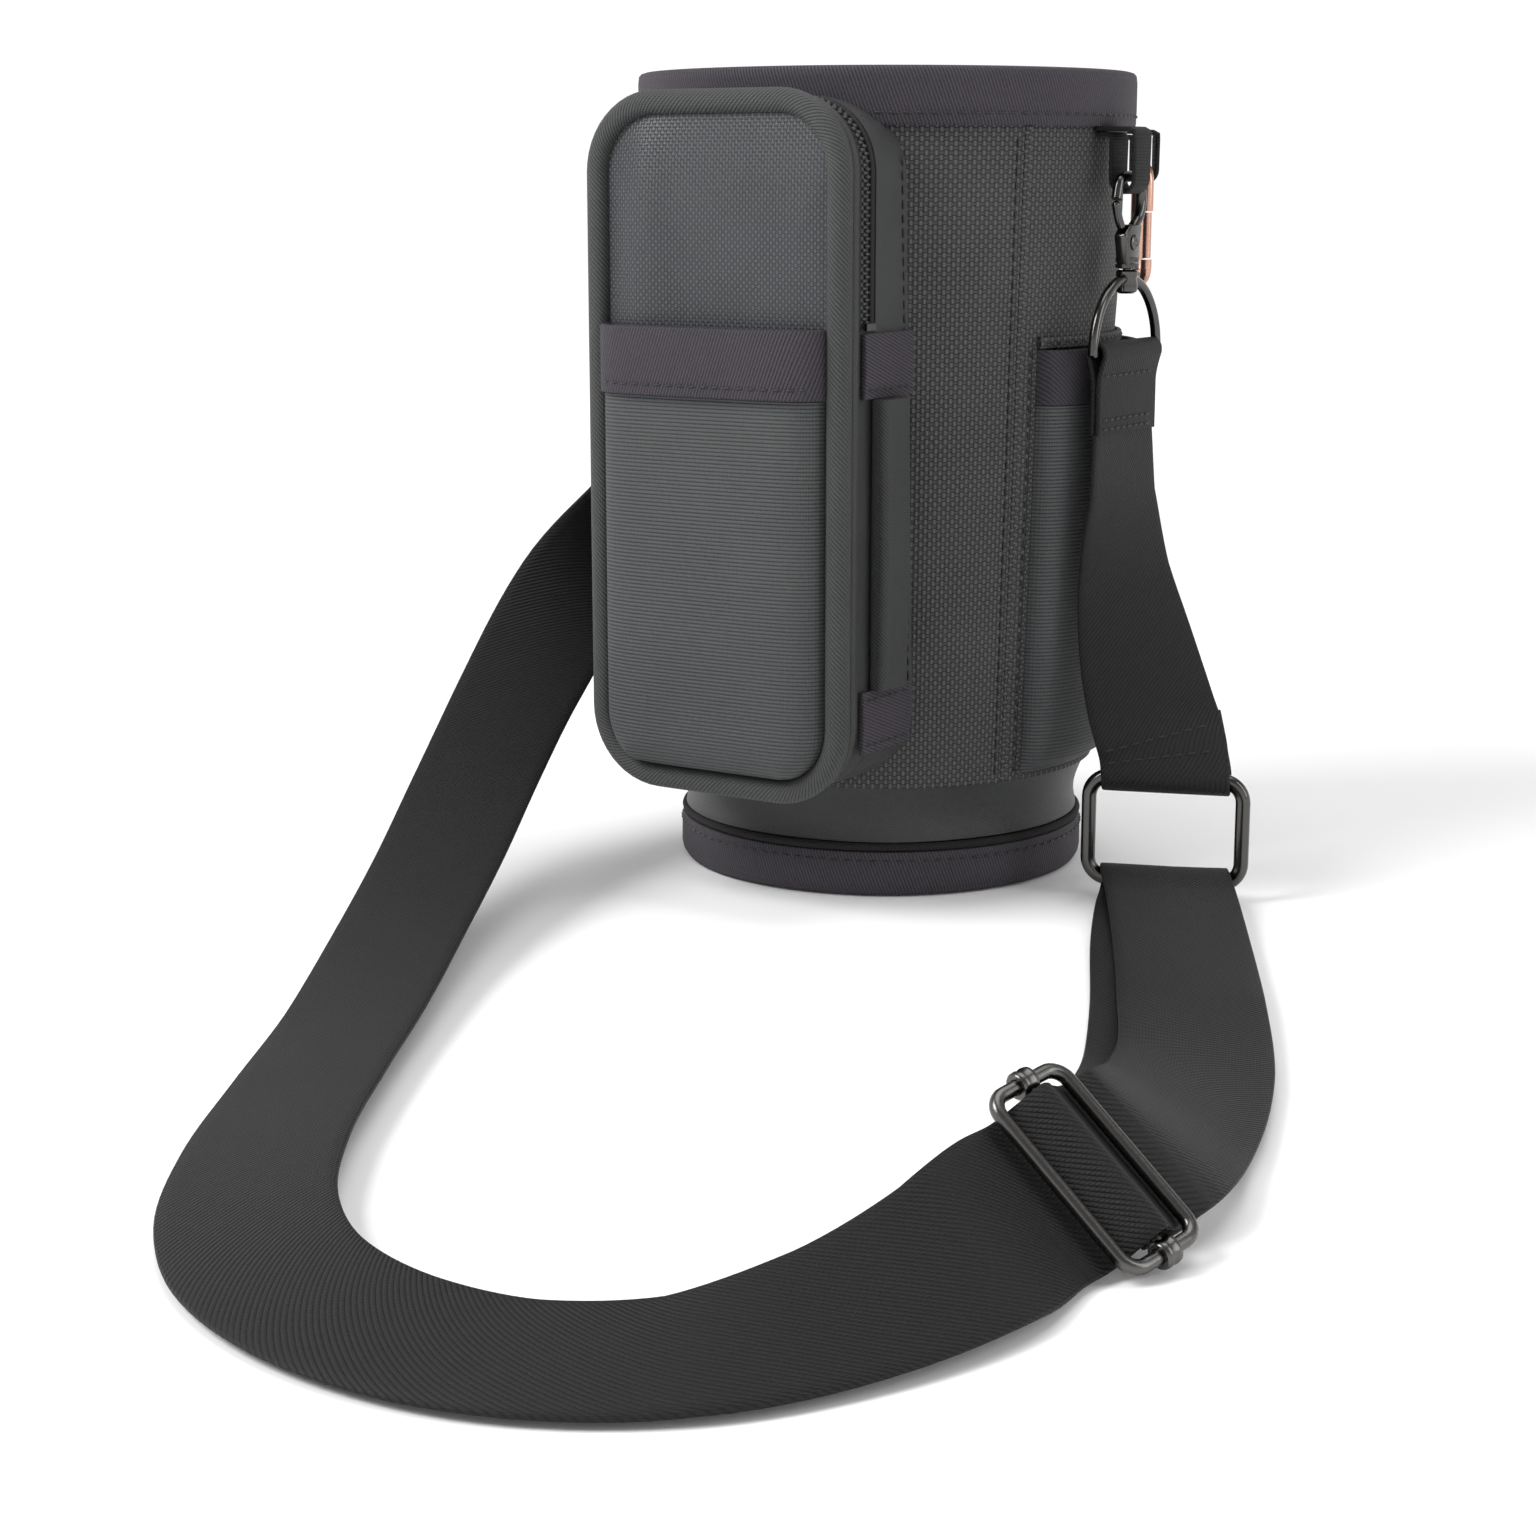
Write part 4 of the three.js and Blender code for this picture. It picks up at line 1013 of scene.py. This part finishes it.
def plateInto(bm, corners, y, half, bevel):
    # a flat plate drawn in X and Z, its edges rounded
    verts = [bm.verts.new((x, y - half, z)) for x, z in corners]
    face = bm.faces.new(verts)
    made = bmesh.ops.extrude_face_region(bm, geom=[face])
    lifted = [item for item in made["geom"] if isinstance(item, bmesh.types.BMVert)]
    bmesh.ops.translate(bm, verts=lifted, vec=(0, 2 * half, 0))
    edges = {edge for vert in verts + lifted for edge in vert.link_edges}
    bmesh.ops.bevel(bm, geom=list(edges), offset=bevel, segments=3, profile=0.5, affect="EDGES", material=-1)


def addSnapHook(which):
    degrees, radius = hardwarePlace(f"snap_hook_{which}")
    hookHigh = boxOf(f"snap_hook_{which}")[1]
    top, foot = hookHigh.z - 1.6 * mm, hookHigh.z - 16.2 * mm
    w, y = 8.4 * mm, -radius
    rows = [(2.6 * mm, foot - 0.5 * mm), (w * 0.82, foot + 3 * mm), (w, top - 6.5 * mm),
            (w * 0.72, top - 1.2 * mm),
            (0, top), (-w * 0.72, top - 1.2 * mm), (-w * 0.98, top - 6.4 * mm)]
    bm = bmesh.new()
    line = splineThrough([Vector((x, y, z)) for x, z in rows], 10)
    wireInto(bm, line, 1.6 * mm)
    plateInto(bm, [(-3 * mm, foot - 12 * mm), (3 * mm, foot - 12 * mm), (4.4 * mm, foot - 5 * mm),
                   (5.6 * mm, foot + 0.8 * mm),
                   (-2.2 * mm, foot + 0.8 * mm), (-5.4 * mm, foot - 2.2 * mm)], y, 2.1 * mm, 0.8 * mm)
    for lift in (-11.2, -9.4):
        bmesh.ops.create_cone(bm, segments=28, radius1=3.5 * mm, radius2=3.5 * mm, depth=1.1 * mm,
                              cap_ends=True,
                              matrix=Matrix.Translation((0, y, foot + lift * mm)))
    bm.transform(turnedTo(degrees))
    finishPiece(f"hook_{which}", bm, "gunmetal", nodes=[f"snap_hook_{which}"])

    bm = bmesh.new()
    rivetAt = Matrix.Translation((0, y, foot - 4.4 * mm)) @ Matrix.Rotation(math.radians(90), 4, "X")
    profile = inMetres([(0.01, -3.1), (0.9, -2.7), (1.1, -2.9), (1.8, -2.9), (2.3, -2.5),
                       (2.3, -2.15), (1.85, -2.1), (1.85, 2.1), (2.3, 2.15), (2.3, 2.5),
                       (1.8, 2.9), (1.1, 2.9), (0.9, 2.7), (0.01, 3.1)])
    sweepInto(bm, roundStations(32), profile)
    bm.transform(turnedTo(degrees) @ rivetAt)
    finishPiece(f"hook_rivet_{which}", bm, "satin", nodes=[f"snap_rivet_{which}"])

    bm = bmesh.new()
    gate = [(-4.9 * mm, foot + 0.4 * mm), (-6.6 * mm, foot + 2.6 * mm), (-w * 0.99, top - 8.2 * mm)]
    wireInto(bm, splineThrough([Vector((x, y, z)) for x, z in gate], 8), 1.3 * mm)
    bmesh.ops.create_uvsphere(bm, u_segments=16, v_segments=10, radius=1.3 * mm,
                              matrix=Matrix.Translation((-w * 0.99, y, top - 8.2 * mm)))
    bm.transform(turnedTo(degrees))
    finishPiece(f"hook_gate_{which}", bm, "gunmetal", nodes=[f"snap_gate_{which}"])

    ringTop = boxOf(f"d_ring_{which}")[1].z
    bm = bmesh.new()
    barrel = [(0.01 * mm, ringTop - 5.9 * mm), (2.2 * mm, ringTop - 5.9 * mm), (3.1 * mm, ringTop - 5.2 * mm),
              (3.3 * mm, ringTop - 3.6 * mm), (2.9 * mm, ringTop - 1.4 * mm), (3.3 * mm, ringTop - 0.6 * mm),
              (3.3 * mm, ringTop + 0.5 * mm), (2.7 * mm, ringTop + 1.0 * mm), (1.3 * mm, ringTop + 1.0 * mm),
              (1.3 * mm, ringTop + 4 * mm), (0.01 * mm, ringTop + 4 * mm)]
    sweepInto(bm, roundStations(32), barrel)
    bm.transform(turnedTo(degrees) @ Matrix.Translation((0, y, 0)))
    finishPiece(f"hook_eye_{which}", bm, "gunmetal", nodes=[f"snap_eye_{which}"])


def addDRing(which):
    degrees, radius = hardwarePlace(f"d_ring_{which}")
    low, high = boxOf(f"d_ring_{which}")
    bar, arc, y = low.z + 1.5 * mm, 21.2 * mm, -radius
    points = []
    for k in range(41):
        a = math.pi * k / 40
        points.append(Vector((arc * math.cos(a), y, bar + arc * math.sin(a))))
    for k in range(1, 6):
        points.append(Vector((-arc, y, bar)).lerp(Vector((-arc + 2 * mm, y, bar)), k / 6))
    points += [Vector((-arc + 2 * mm + (2 * arc - 4 * mm) * k / 12, y, bar)) for k in range(13)]
    bm = bmesh.new()
    wireInto(bm, points, 1.5 * mm, closed=True)
    bm.transform(turnedTo(degrees))
    finishPiece(f"ring_{which}", bm, "gunmetal", nodes=[f"d_ring_{which}"])


def addRibbonLoop(name, node, width, flare):
    # a doubled ribbon: down the front, under and up the back
    degrees, _ = hardwarePlace(node)
    radius = hardwarePlace("strap_tab_right")[1]
    low, high = boxOf(node)
    half = 2.9 * mm + 0.8 * mm
    points = []
    top = high.z - 0.4 * mm
    wall = wallAt(top) + 0.6 * mm
    bend = low.z + 4.5 * mm
    points += [Vector((0, -wall - (radius + half - wall) * k / 8, top - 0.2 * mm * k / 8)) for k in range(8)]
    for k in range(9):
        points.append(Vector((0, -radius - half, top - 0.9 * mm + (bend - top + 0.9 * mm) * k / 8)))
    for k in range(1, 17):
        a = math.pi * k / 17
        points.append(Vector((0, -radius - half * math.cos(a), low.z + 4.5 * mm - (3.7 * mm) * math.sin(a))))
    for k in range(9):
        points.append(Vector((0, -radius + half, bend + (top - 2.6 * mm - bend) * k / 8)))
    points += [Vector((0, -radius + half + (radius - half - wall) * k / 6, top - 1.7 * mm))
               for k in range(1, 7)]
    stations = []
    for point, out, over in wireStations(points, Vector((1, 0, 0))):
        rise = max(0.0, (point.z - low.z) / (high.z - low.z))
        stations.append((point, out * (1 + flare * rise ** 1.5), over))
    bm = bmesh.new()
    sweepInto(bm, stations, slabSection(-width / 2, width / 2, -0.7 * mm, 0.7 * mm, 0.5 * mm), closed=False)
    bm.transform(turnedTo(degrees))
    finishPiece(name, bm, "grosgrain", nodes=[node])


def addFoldedEnd(which):
    # the web doubled round the ring's bar and sewn to itself
    degrees, radius = hardwarePlace(f"strap_tab_{which}")
    low, high = boxOf(f"strap_tab_{which}")
    bar, y = high.z - 3.4 * mm, -radius
    turn = 1.5 * mm + 0.3 * mm + 0.8 * mm
    bottom = low.z - 0.7 * mm
    flat = 0.85 * mm
    points = [Vector((0, y - flat, bottom + (bar - 9 * mm - bottom) * k / 8)) for k in range(9)]
    points += [Vector((0, y - flat - (turn - flat) * (k / 6) ** 1.5, bar - 9 * mm + 8 * mm * k / 6))
               for k in range(1, 7)]
    for k in range(15):
        a = math.pi * k / 14
        points.append(Vector((0, y - turn * math.cos(a), bar + turn * math.sin(a))))
    points += [Vector((0, y + flat + (turn - flat) * (1 - k / 6) ** 1.5, bar - 1 * mm - 8 * mm * k / 6))
               for k in range(7)]
    points += [Vector((0, y + flat, bar - 9 * mm - (bar - 9 * mm - bottom) * k / 8)) for k in range(1, 9)]
    bm = bmesh.new()
    width = 38 * mm
    sweepInto(bm, wireStations(points, Vector((1, 0, 0))),
              slabSection(-width / 2, width / 2, -0.75 * mm, 0.75 * mm, 0.55 * mm), closed=False)
    bm.transform(turnedTo(degrees))
    finishPiece(f"web_fold_{which}", bm, "web", nodes=[f"strap_tab_{which}"])
    rows = []
    for z in (bottom + 1.6 * mm, bottom + 4.4 * mm, bar - 6.5 * mm):
        front = y - 1.75 * mm - (z > bottom + 10 * mm) * 0.25 * mm
        line = [turnedTo(degrees) @ Vector((-17.5 * mm + 35 * mm * k / 14, front, z)) for k in range(15)]
        rows.append((line, [turnedTo(degrees).to_3x3() @ Vector((0, -1, 0))] * len(line)))
    stitched(f"web_fold_stitches_{which}", rows, "blackThread")


for which in ("right", "left"):
    addRibbonLoop(f"ribbon_loop_{which}", f"strap_loop_{which}", 10 * mm, 0.12)
    addSnapHook(which)
    addDRing(which)
    addFoldedEnd(which)
addRibbonLoop("ribbon_loop_clip", "clip_loop", 4.2 * mm, 0.2)


# ---------- small side clip ----------
def roundedFrame(width, height, corner, y, steps=8):
    points = []
    for x, z, start in ((width / 2 - corner, height / 2 - corner, 0),
                        (-width / 2 + corner, height / 2 - corner, 90),
                        (-width / 2 + corner, -height / 2 + corner, 180),
                        (width / 2 - corner, -height / 2 + corner, 270)):
        for k in range(steps + 1):
            a = math.radians(start + 90 * k / steps)
            points.append(Vector((x + corner * math.cos(a), y, z + corner * math.sin(a))))
    return points


def addClip():
    degrees = 133.0
    low, high = boxOf("clip_body")
    radius = hardwarePlace("strap_tab_right")[1]
    width, height, wire = 13 * mm, high.z - low.z, 3.4 * mm
    middle = (low.z + high.z) / 2
    frameLine = roundedFrame(width - wire, height - wire, (width - wire) / 2 - 0.3 * mm, 0)
    # starts under the gate and goes round to above it
    bottomGap, topGap = -height / 2 + 8 * mm, 4 * mm
    dense = splineThrough(frameLine + frameLine[:1], 6)
    kept = [point for point in dense if not (point.x < -2 * mm and bottomGap < point.z < topGap)]
    first = max(range(len(kept)), key=lambda k: (kept[k] - kept[k - 1]).length)
    line = kept[first:] + kept[:first]
    gateX = -width / 2 + wire / 2
    line = [Vector((gateX, 0, bottomGap))] + line + [Vector((gateX, 0, topGap))]
    bm = bmesh.new()
    wireInto(bm, line, wire / 2)
    side = Matrix.Translation((width / 2 - wire / 2, 0, 1 * mm))
    sleeve = inMetres([(0.01, -12), (2.1, -12), (2.4, -11.4), (2.4, 11.4), (2.1, 12), (0.01, 12)])
    part = bmesh.new()
    sweepInto(part, roundStations(24), sleeve)
    part.transform(side)
    made = bpy.data.meshes.new("sleeve")
    part.to_mesh(made)
    part.free()
    bm.from_mesh(made)
    bpy.data.meshes.remove(made)
    bm.transform(turnedTo(degrees) @ Matrix.Translation((0, -radius, middle)))
    finishPiece("clip_frame", bm, "rose", nodes=["clip_body"])
    gateLow, gateHigh = [Vector(corner).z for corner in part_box("clip_gate")]
    bm = bmesh.new()
    heights = (gateLow + 0.2 * mm, (gateLow + gateHigh) / 2, gateHigh - 0.2 * mm)
    wireInto(bm, [Vector((gateX, 0, z - middle)) for z in heights], 1.35 * mm)
    bm.transform(turnedTo(degrees) @ Matrix.Translation((0, -radius, middle)))
    finishPiece("clip_gate_bar", bm, "rose", nodes=["clip_gate"])


addClip()
print("hardware made")


# ---------- rectangular ring and adjuster ----------
def frameAt(place, along, across):
    u = Vector(across).normalized()
    w = Vector(along).normalized()
    v = w.cross(u).normalized()
    turn = Matrix((u, v, w)).transposed().to_4x4()
    return Matrix.Translation(Vector(place) * mm) @ turn


ringAt = frameAt((104.9, -10, 21), (0, 0, 1), (0.94, 0.33, 0))
squareRing = bmesh.new()
ringLine = roundedFrame(45.8 * mm, 31.6 * mm, 6.5 * mm, 0, 10)
sweepInto(squareRing, wireStations(ringLine, Vector((0, 1, 0)), True),
          roundSection(4.4 * mm, 4.4 * mm, 20, 2.3))
squareRing.transform(ringAt)
finishPiece("square_ring", squareRing, "gunmetal", nodes=["strap_ring"])

adjusterAt = frameAt((212.8, -274.4, 17.8), (-0.233, -0.962, -0.15), (0.776, -0.093, -0.62))
adjuster = {"inside": 41.2 * mm, "wire": 3.2 * mm, "pitch": 10.4 * mm}
adjusterFrame = bmesh.new()
adjusterLine = roundedFrame(adjuster["inside"] + adjuster["wire"], 2 * adjuster["pitch"], 4 * mm, 0, 8)
sweepInto(adjusterFrame, wireStations(adjusterLine, Vector((0, 1, 0)), True),
          roundSection(adjuster["wire"], adjuster["wire"], 18, 2.2))
adjusterFrame.transform(adjusterAt)
finishPiece("adjuster_loop", adjusterFrame, "satin", nodes=["adjuster_frame"])

adjusterBar = bmesh.new()
barLine = [Vector((x * mm, 0, 0)) for x in (-19.8, -10, 0, 10, 19.8)]
wireInto(adjusterBar, barLine, 1.6 * mm)
for end in (-1, 1):
    collar = inMetres([(1.75, -2.3), (2.6, -2.3), (3.0, -1.9), (3.1, -0.9), (2.8, 0), (3.1, 0.9),
                       (3.0, 1.9), (2.6, 2.3), (1.75, 2.3)])
    stops = [(point + Vector((end * 22.2 * mm, 0, 0)), out, over) for point, out, over in roundStations(28)]
    sweepInto(adjusterBar, stops, collar)
adjusterBar.transform(adjusterAt)
finishPiece("adjuster_middle_bar", adjusterBar, "satin", nodes=["adjuster_bar"])
print("rings made")


# ---------- webbing ----------
# each row is a place on the web's middle line, then the way across it
tabRadius = (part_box("strap_tab_right")[0][0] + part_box("strap_tab_right")[1][0]) / 2 / mm
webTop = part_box("strap_tab_right")[0][2] / mm - 0.6
connectingRoute = [
    [tabRadius, 0, webTop, 0, 1, 0],
    [83.2, 0, 120, 0.06, 1, 0],
    [85, -1, 98, 0.3, 0.95, 0],
    [91, -4, 76, 0.62, 0.78, 0],
    [98, -8, 58, 0.85, 0.53, 0],
    [104, -11.4, 46, 0.94, 0.33, 0],
    [106.2, -13.6, 36.8, 0.94, 0.33, 0],
    [105.8, -12.5, 34.1, 0.94, 0.33, 0],
    [104.9, -10.0, 33.0, 0.94, 0.33, 0],
    [104.0, -7.5, 34.1, 0.94, 0.33, 0],
    [103.6, -6.4, 36.8, 0.94, 0.33, 0],
    [102.6, -8.1, 45, 0.94, 0.33, 0],
    [99.8, -6.4, 53, 0.9, 0.44, 0],
]
strapRoute = [
    [210.9, -274.8, 15.5, 0.78, -0.09, -0.62],
    [211.0, -268.3, 14.7, 0.78, -0.09, -0.62],
    [213.1, -258.5, 15.9, 0.78, -0.09, -0.62],
    [196.1, -210.1, 8.4, 0.94, 0.11, -0.32],
    [179.4, -169.7, 3.6, 0.96, 0.26, -0.10],
    [156.1, -119.2, 2.0, 0.94, 0.33, 0.00],
    [129.3, -65.1, 2.0, 0.94, 0.33, 0.00],
    [112.5, -28.3, 1.7, 0.94, 0.33, 0.00],
    [104.9, -10.0, 1.4, 0.94, 0.33, 0.00],
    [104.0, -7.5, 2.5, 0.94, 0.33, 0.00],
    [103.6, -6.4, 5.2, 0.94, 0.33, 0.00],
    [104.0, -7.5, 7.9, 0.94, 0.33, 0.00],
    [104.9, -10.0, 9.0, 0.94, 0.33, 0.00],
    [114.5, -25.8, 7.0, 0.94, 0.33, 0.00],
    [134.3, -61.8, 4.8, 0.94, 0.33, 0.00],
    [162.0, -115.4, 4.8, 0.94, 0.33, 0.00],
    [186.1, -165.3, 6.4, 0.95, 0.26, -0.15],
    [204.1, -213.3, 11.5, 0.91, 0.10, -0.39],
    [215.8, -254.4, 18.6, 0.78, -0.09, -0.62],
    [213.4, -262.9, 16.8, 0.78, -0.09, -0.62],
    [214.1, -269.6, 18.7, 0.78, -0.09, -0.62],
    [215.2, -275.5, 21.0, 0.78, -0.09, -0.62],
    [211.7, -279.2, 17.2, 0.78, -0.09, -0.62],
    [208.2, -284.1, 13.5, 0.78, -0.09, -0.62],
    [206.6, -293.0, 12.8, 0.78, -0.09, -0.62],
    [206.5, -314.3, 11.8, 0.74, -0.48, -0.46],
    [196.7, -343.3, 7.8, 0.64, -0.71, -0.30],
    [178.6, -370.5, 5.0, 0.54, -0.83, -0.17],
    [151.2, -387.1, 4.4, 0.28, -0.95, -0.14],
    [119.6, -389.8, 4.4, -0.07, -0.99, -0.14],
    [88.3, -380.2, 4.4, -0.44, -0.89, -0.14],
    [61.7, -359.4, 4.4, -0.74, -0.66, -0.14],
    [37.4, -327.5, 4.4, -0.85, -0.51, -0.14],
    [14.6, -288.6, 4.6, -0.86, -0.49, -0.14],
    [-9.3, -244.5, 6.0, -0.87, -0.47, -0.14],
    [-33.2, -200.4, 11.0, -0.88, -0.47, -0.10],
    [-55.4, -155.2, 21.0, -0.86, -0.50, -0.05],
    [-74.0, -113.7, 36.0, -0.84, -0.54, 0.00],
    [-88.0, -73.8, 56.0, -0.71, -0.71, 0.00],
    [-92.6, -41.0, 80.0, -0.48, -0.88, 0.00],
    [-88.4, -15, 103, -0.22, -0.98, 0],
    [-84.2, -2.6, 121, -0.05, -1, 0],
    [-tabRadius, 0, 131, 0, -1, 0],
    [-tabRadius, 0, webTop, 0, -1, 0],
]
web = {"width": 38 * mm, "thick": 1.5 * mm, "perSpan": 8, "cross": 12}


def webStations(rows):
    points = splineThrough([Vector(row[:3]) * mm for row in rows], web["perSpan"])
    stations = []
    for k, point in enumerate(points):
        at = min(k / web["perSpan"], len(rows) - 1.0001)
        first = Vector(rows[int(at)][3:])
        side = first.lerp(Vector(rows[int(at) + 1][3:]), at - int(at))
        along = (points[min(k + 1, len(points) - 1)] - points[max(k - 1, 0)]).normalized()
        side = (side - along * side.dot(along)).normalized()
        stations.append((point, side, along.cross(side)))
    return stations


def webSection():
    half, thick = web["width"] / 2, web["thick"] / 2
    top = [(-half + web["width"] * k / web["cross"], thick) for k in range(1, web["cross"])]
    edge = [(half - 0.35 * mm, thick * 0.92), (half, 0.3 * mm), (half, -0.3 * mm),
            (half - 0.35 * mm, -thick * 0.92)]
    under = [(x, -z) for x, z in reversed(top)]
    start = [(-half + 0.35 * mm, thick * 0.92)]
    back = [(-half + 0.35 * mm, -thick * 0.92), (-half, -0.3 * mm), (-half, 0.3 * mm)]
    return start + top + edge + under + back


def addWeb(name, rows, node):
    stations = webStations(rows)
    return swept(name, stations, webSection(), "web", closed=False, nodes=[node], sharp=60), stations


linkWeb, linkStations = addWeb("link_web", connectingRoute, "connecting_web")
strapWeb, strapStations = addWeb("strap_web", strapRoute, "shoulder_strap")
linkLength = runLengths([point for point, _, _ in linkStations])[-1]
strapLength = runLengths([point for point, _, _ in strapStations])[-1]
print("web lengths", round(linkLength, 4), round(strapLength, 4))


def acrossRow(stations, k, lift, reach=17.5 * mm):
    point, side, over = stations[k]
    line = [point + side * (reach * (2 * n / 12 - 1)) + over * lift for n in range(13)]
    return line, [over] * len(line)


linkRows = [acrossRow(linkStations, k, lift=lift) for lift in (0.8 * mm, -0.8 * mm) for k in (38, 42)]
stitched("link_web_stitches", linkRows, "blackThread")


# ---------- zip slider and pull ----------
sliderLow, sliderHigh = boxOf("zip_slider")
pullLow, pullHigh = boxOf("zip_pull")
sliderMiddle = (sliderLow + sliderHigh) / 2
slider = bmesh.new()
plateX = sliderHigh.x - 0.6 * mm
sweepInto(slider, uprightStations(plateX, sliderMiddle.y, sliderLow.z, sliderHigh.z, 8),
          slabSection(-0.6 * mm, 0.6 * mm, -3.6 * mm, 3.6 * mm, 0.5 * mm), closed=False)
bridge = [(plateX - 0.4 * mm, sliderLow.z + 1.7 * mm), (plateX - 1.5 * mm, sliderLow.z + 1.6 * mm),
          (sliderLow.x + 0.9 * mm, sliderLow.z + 1.7 * mm), (sliderLow.x + 0.45 * mm, sliderLow.z + 2.5 * mm),
          (sliderLow.x + 0.45 * mm, sliderMiddle.z), (sliderLow.x + 0.45 * mm, sliderHigh.z - 2.5 * mm),
          (sliderLow.x + 0.9 * mm, sliderHigh.z - 1.7 * mm), (plateX - 1.5 * mm, sliderHigh.z - 1.6 * mm),
          (plateX - 0.4 * mm, sliderHigh.z - 1.7 * mm)]
wireInto(slider, splineThrough([Vector((x, sliderMiddle.y, z)) for x, z in bridge], 6), 0.5 * mm)
finishPiece("zip_slider_body", slider, "satin", nodes=["zip_slider"])
pull = bmesh.new()
pullMiddle = (pullLow + pullHigh) / 2
wide = pullHigh.y - pullLow.y
head = [Vector((pullMiddle.x, pullMiddle.y + x, pullHigh.z - 3.35 * mm + z))
        for x, _, z in roundedFrame(wide - 1.2 * mm, 5.6 * mm, 1.2 * mm, 0, 5)]
sweepInto(pull, wireStations(head, Vector((1, 0, 0)), True), roundSection(0.8 * mm, 1.2 * mm, 12))
tagLow, tagHigh = pullLow.z, pullHigh.z - 6.0 * mm
sweepInto(pull, uprightStations(pullMiddle.x, pullMiddle.y, tagLow, tagHigh, 8, 0.25),
          slabSection(-0.38 * mm, 0.38 * mm, -wide / 2, wide / 2, 0.3 * mm), closed=False)
finishPiece("zip_pull_tag", pull, "satin", nodes=["zip_pull"])
for which in ("left", "right"):
    stopper = frame["nodes"][f"zip_stop_{which}"]
    stopper.data.materials.clear()
    stopper.data.materials.append(looks["satin"])
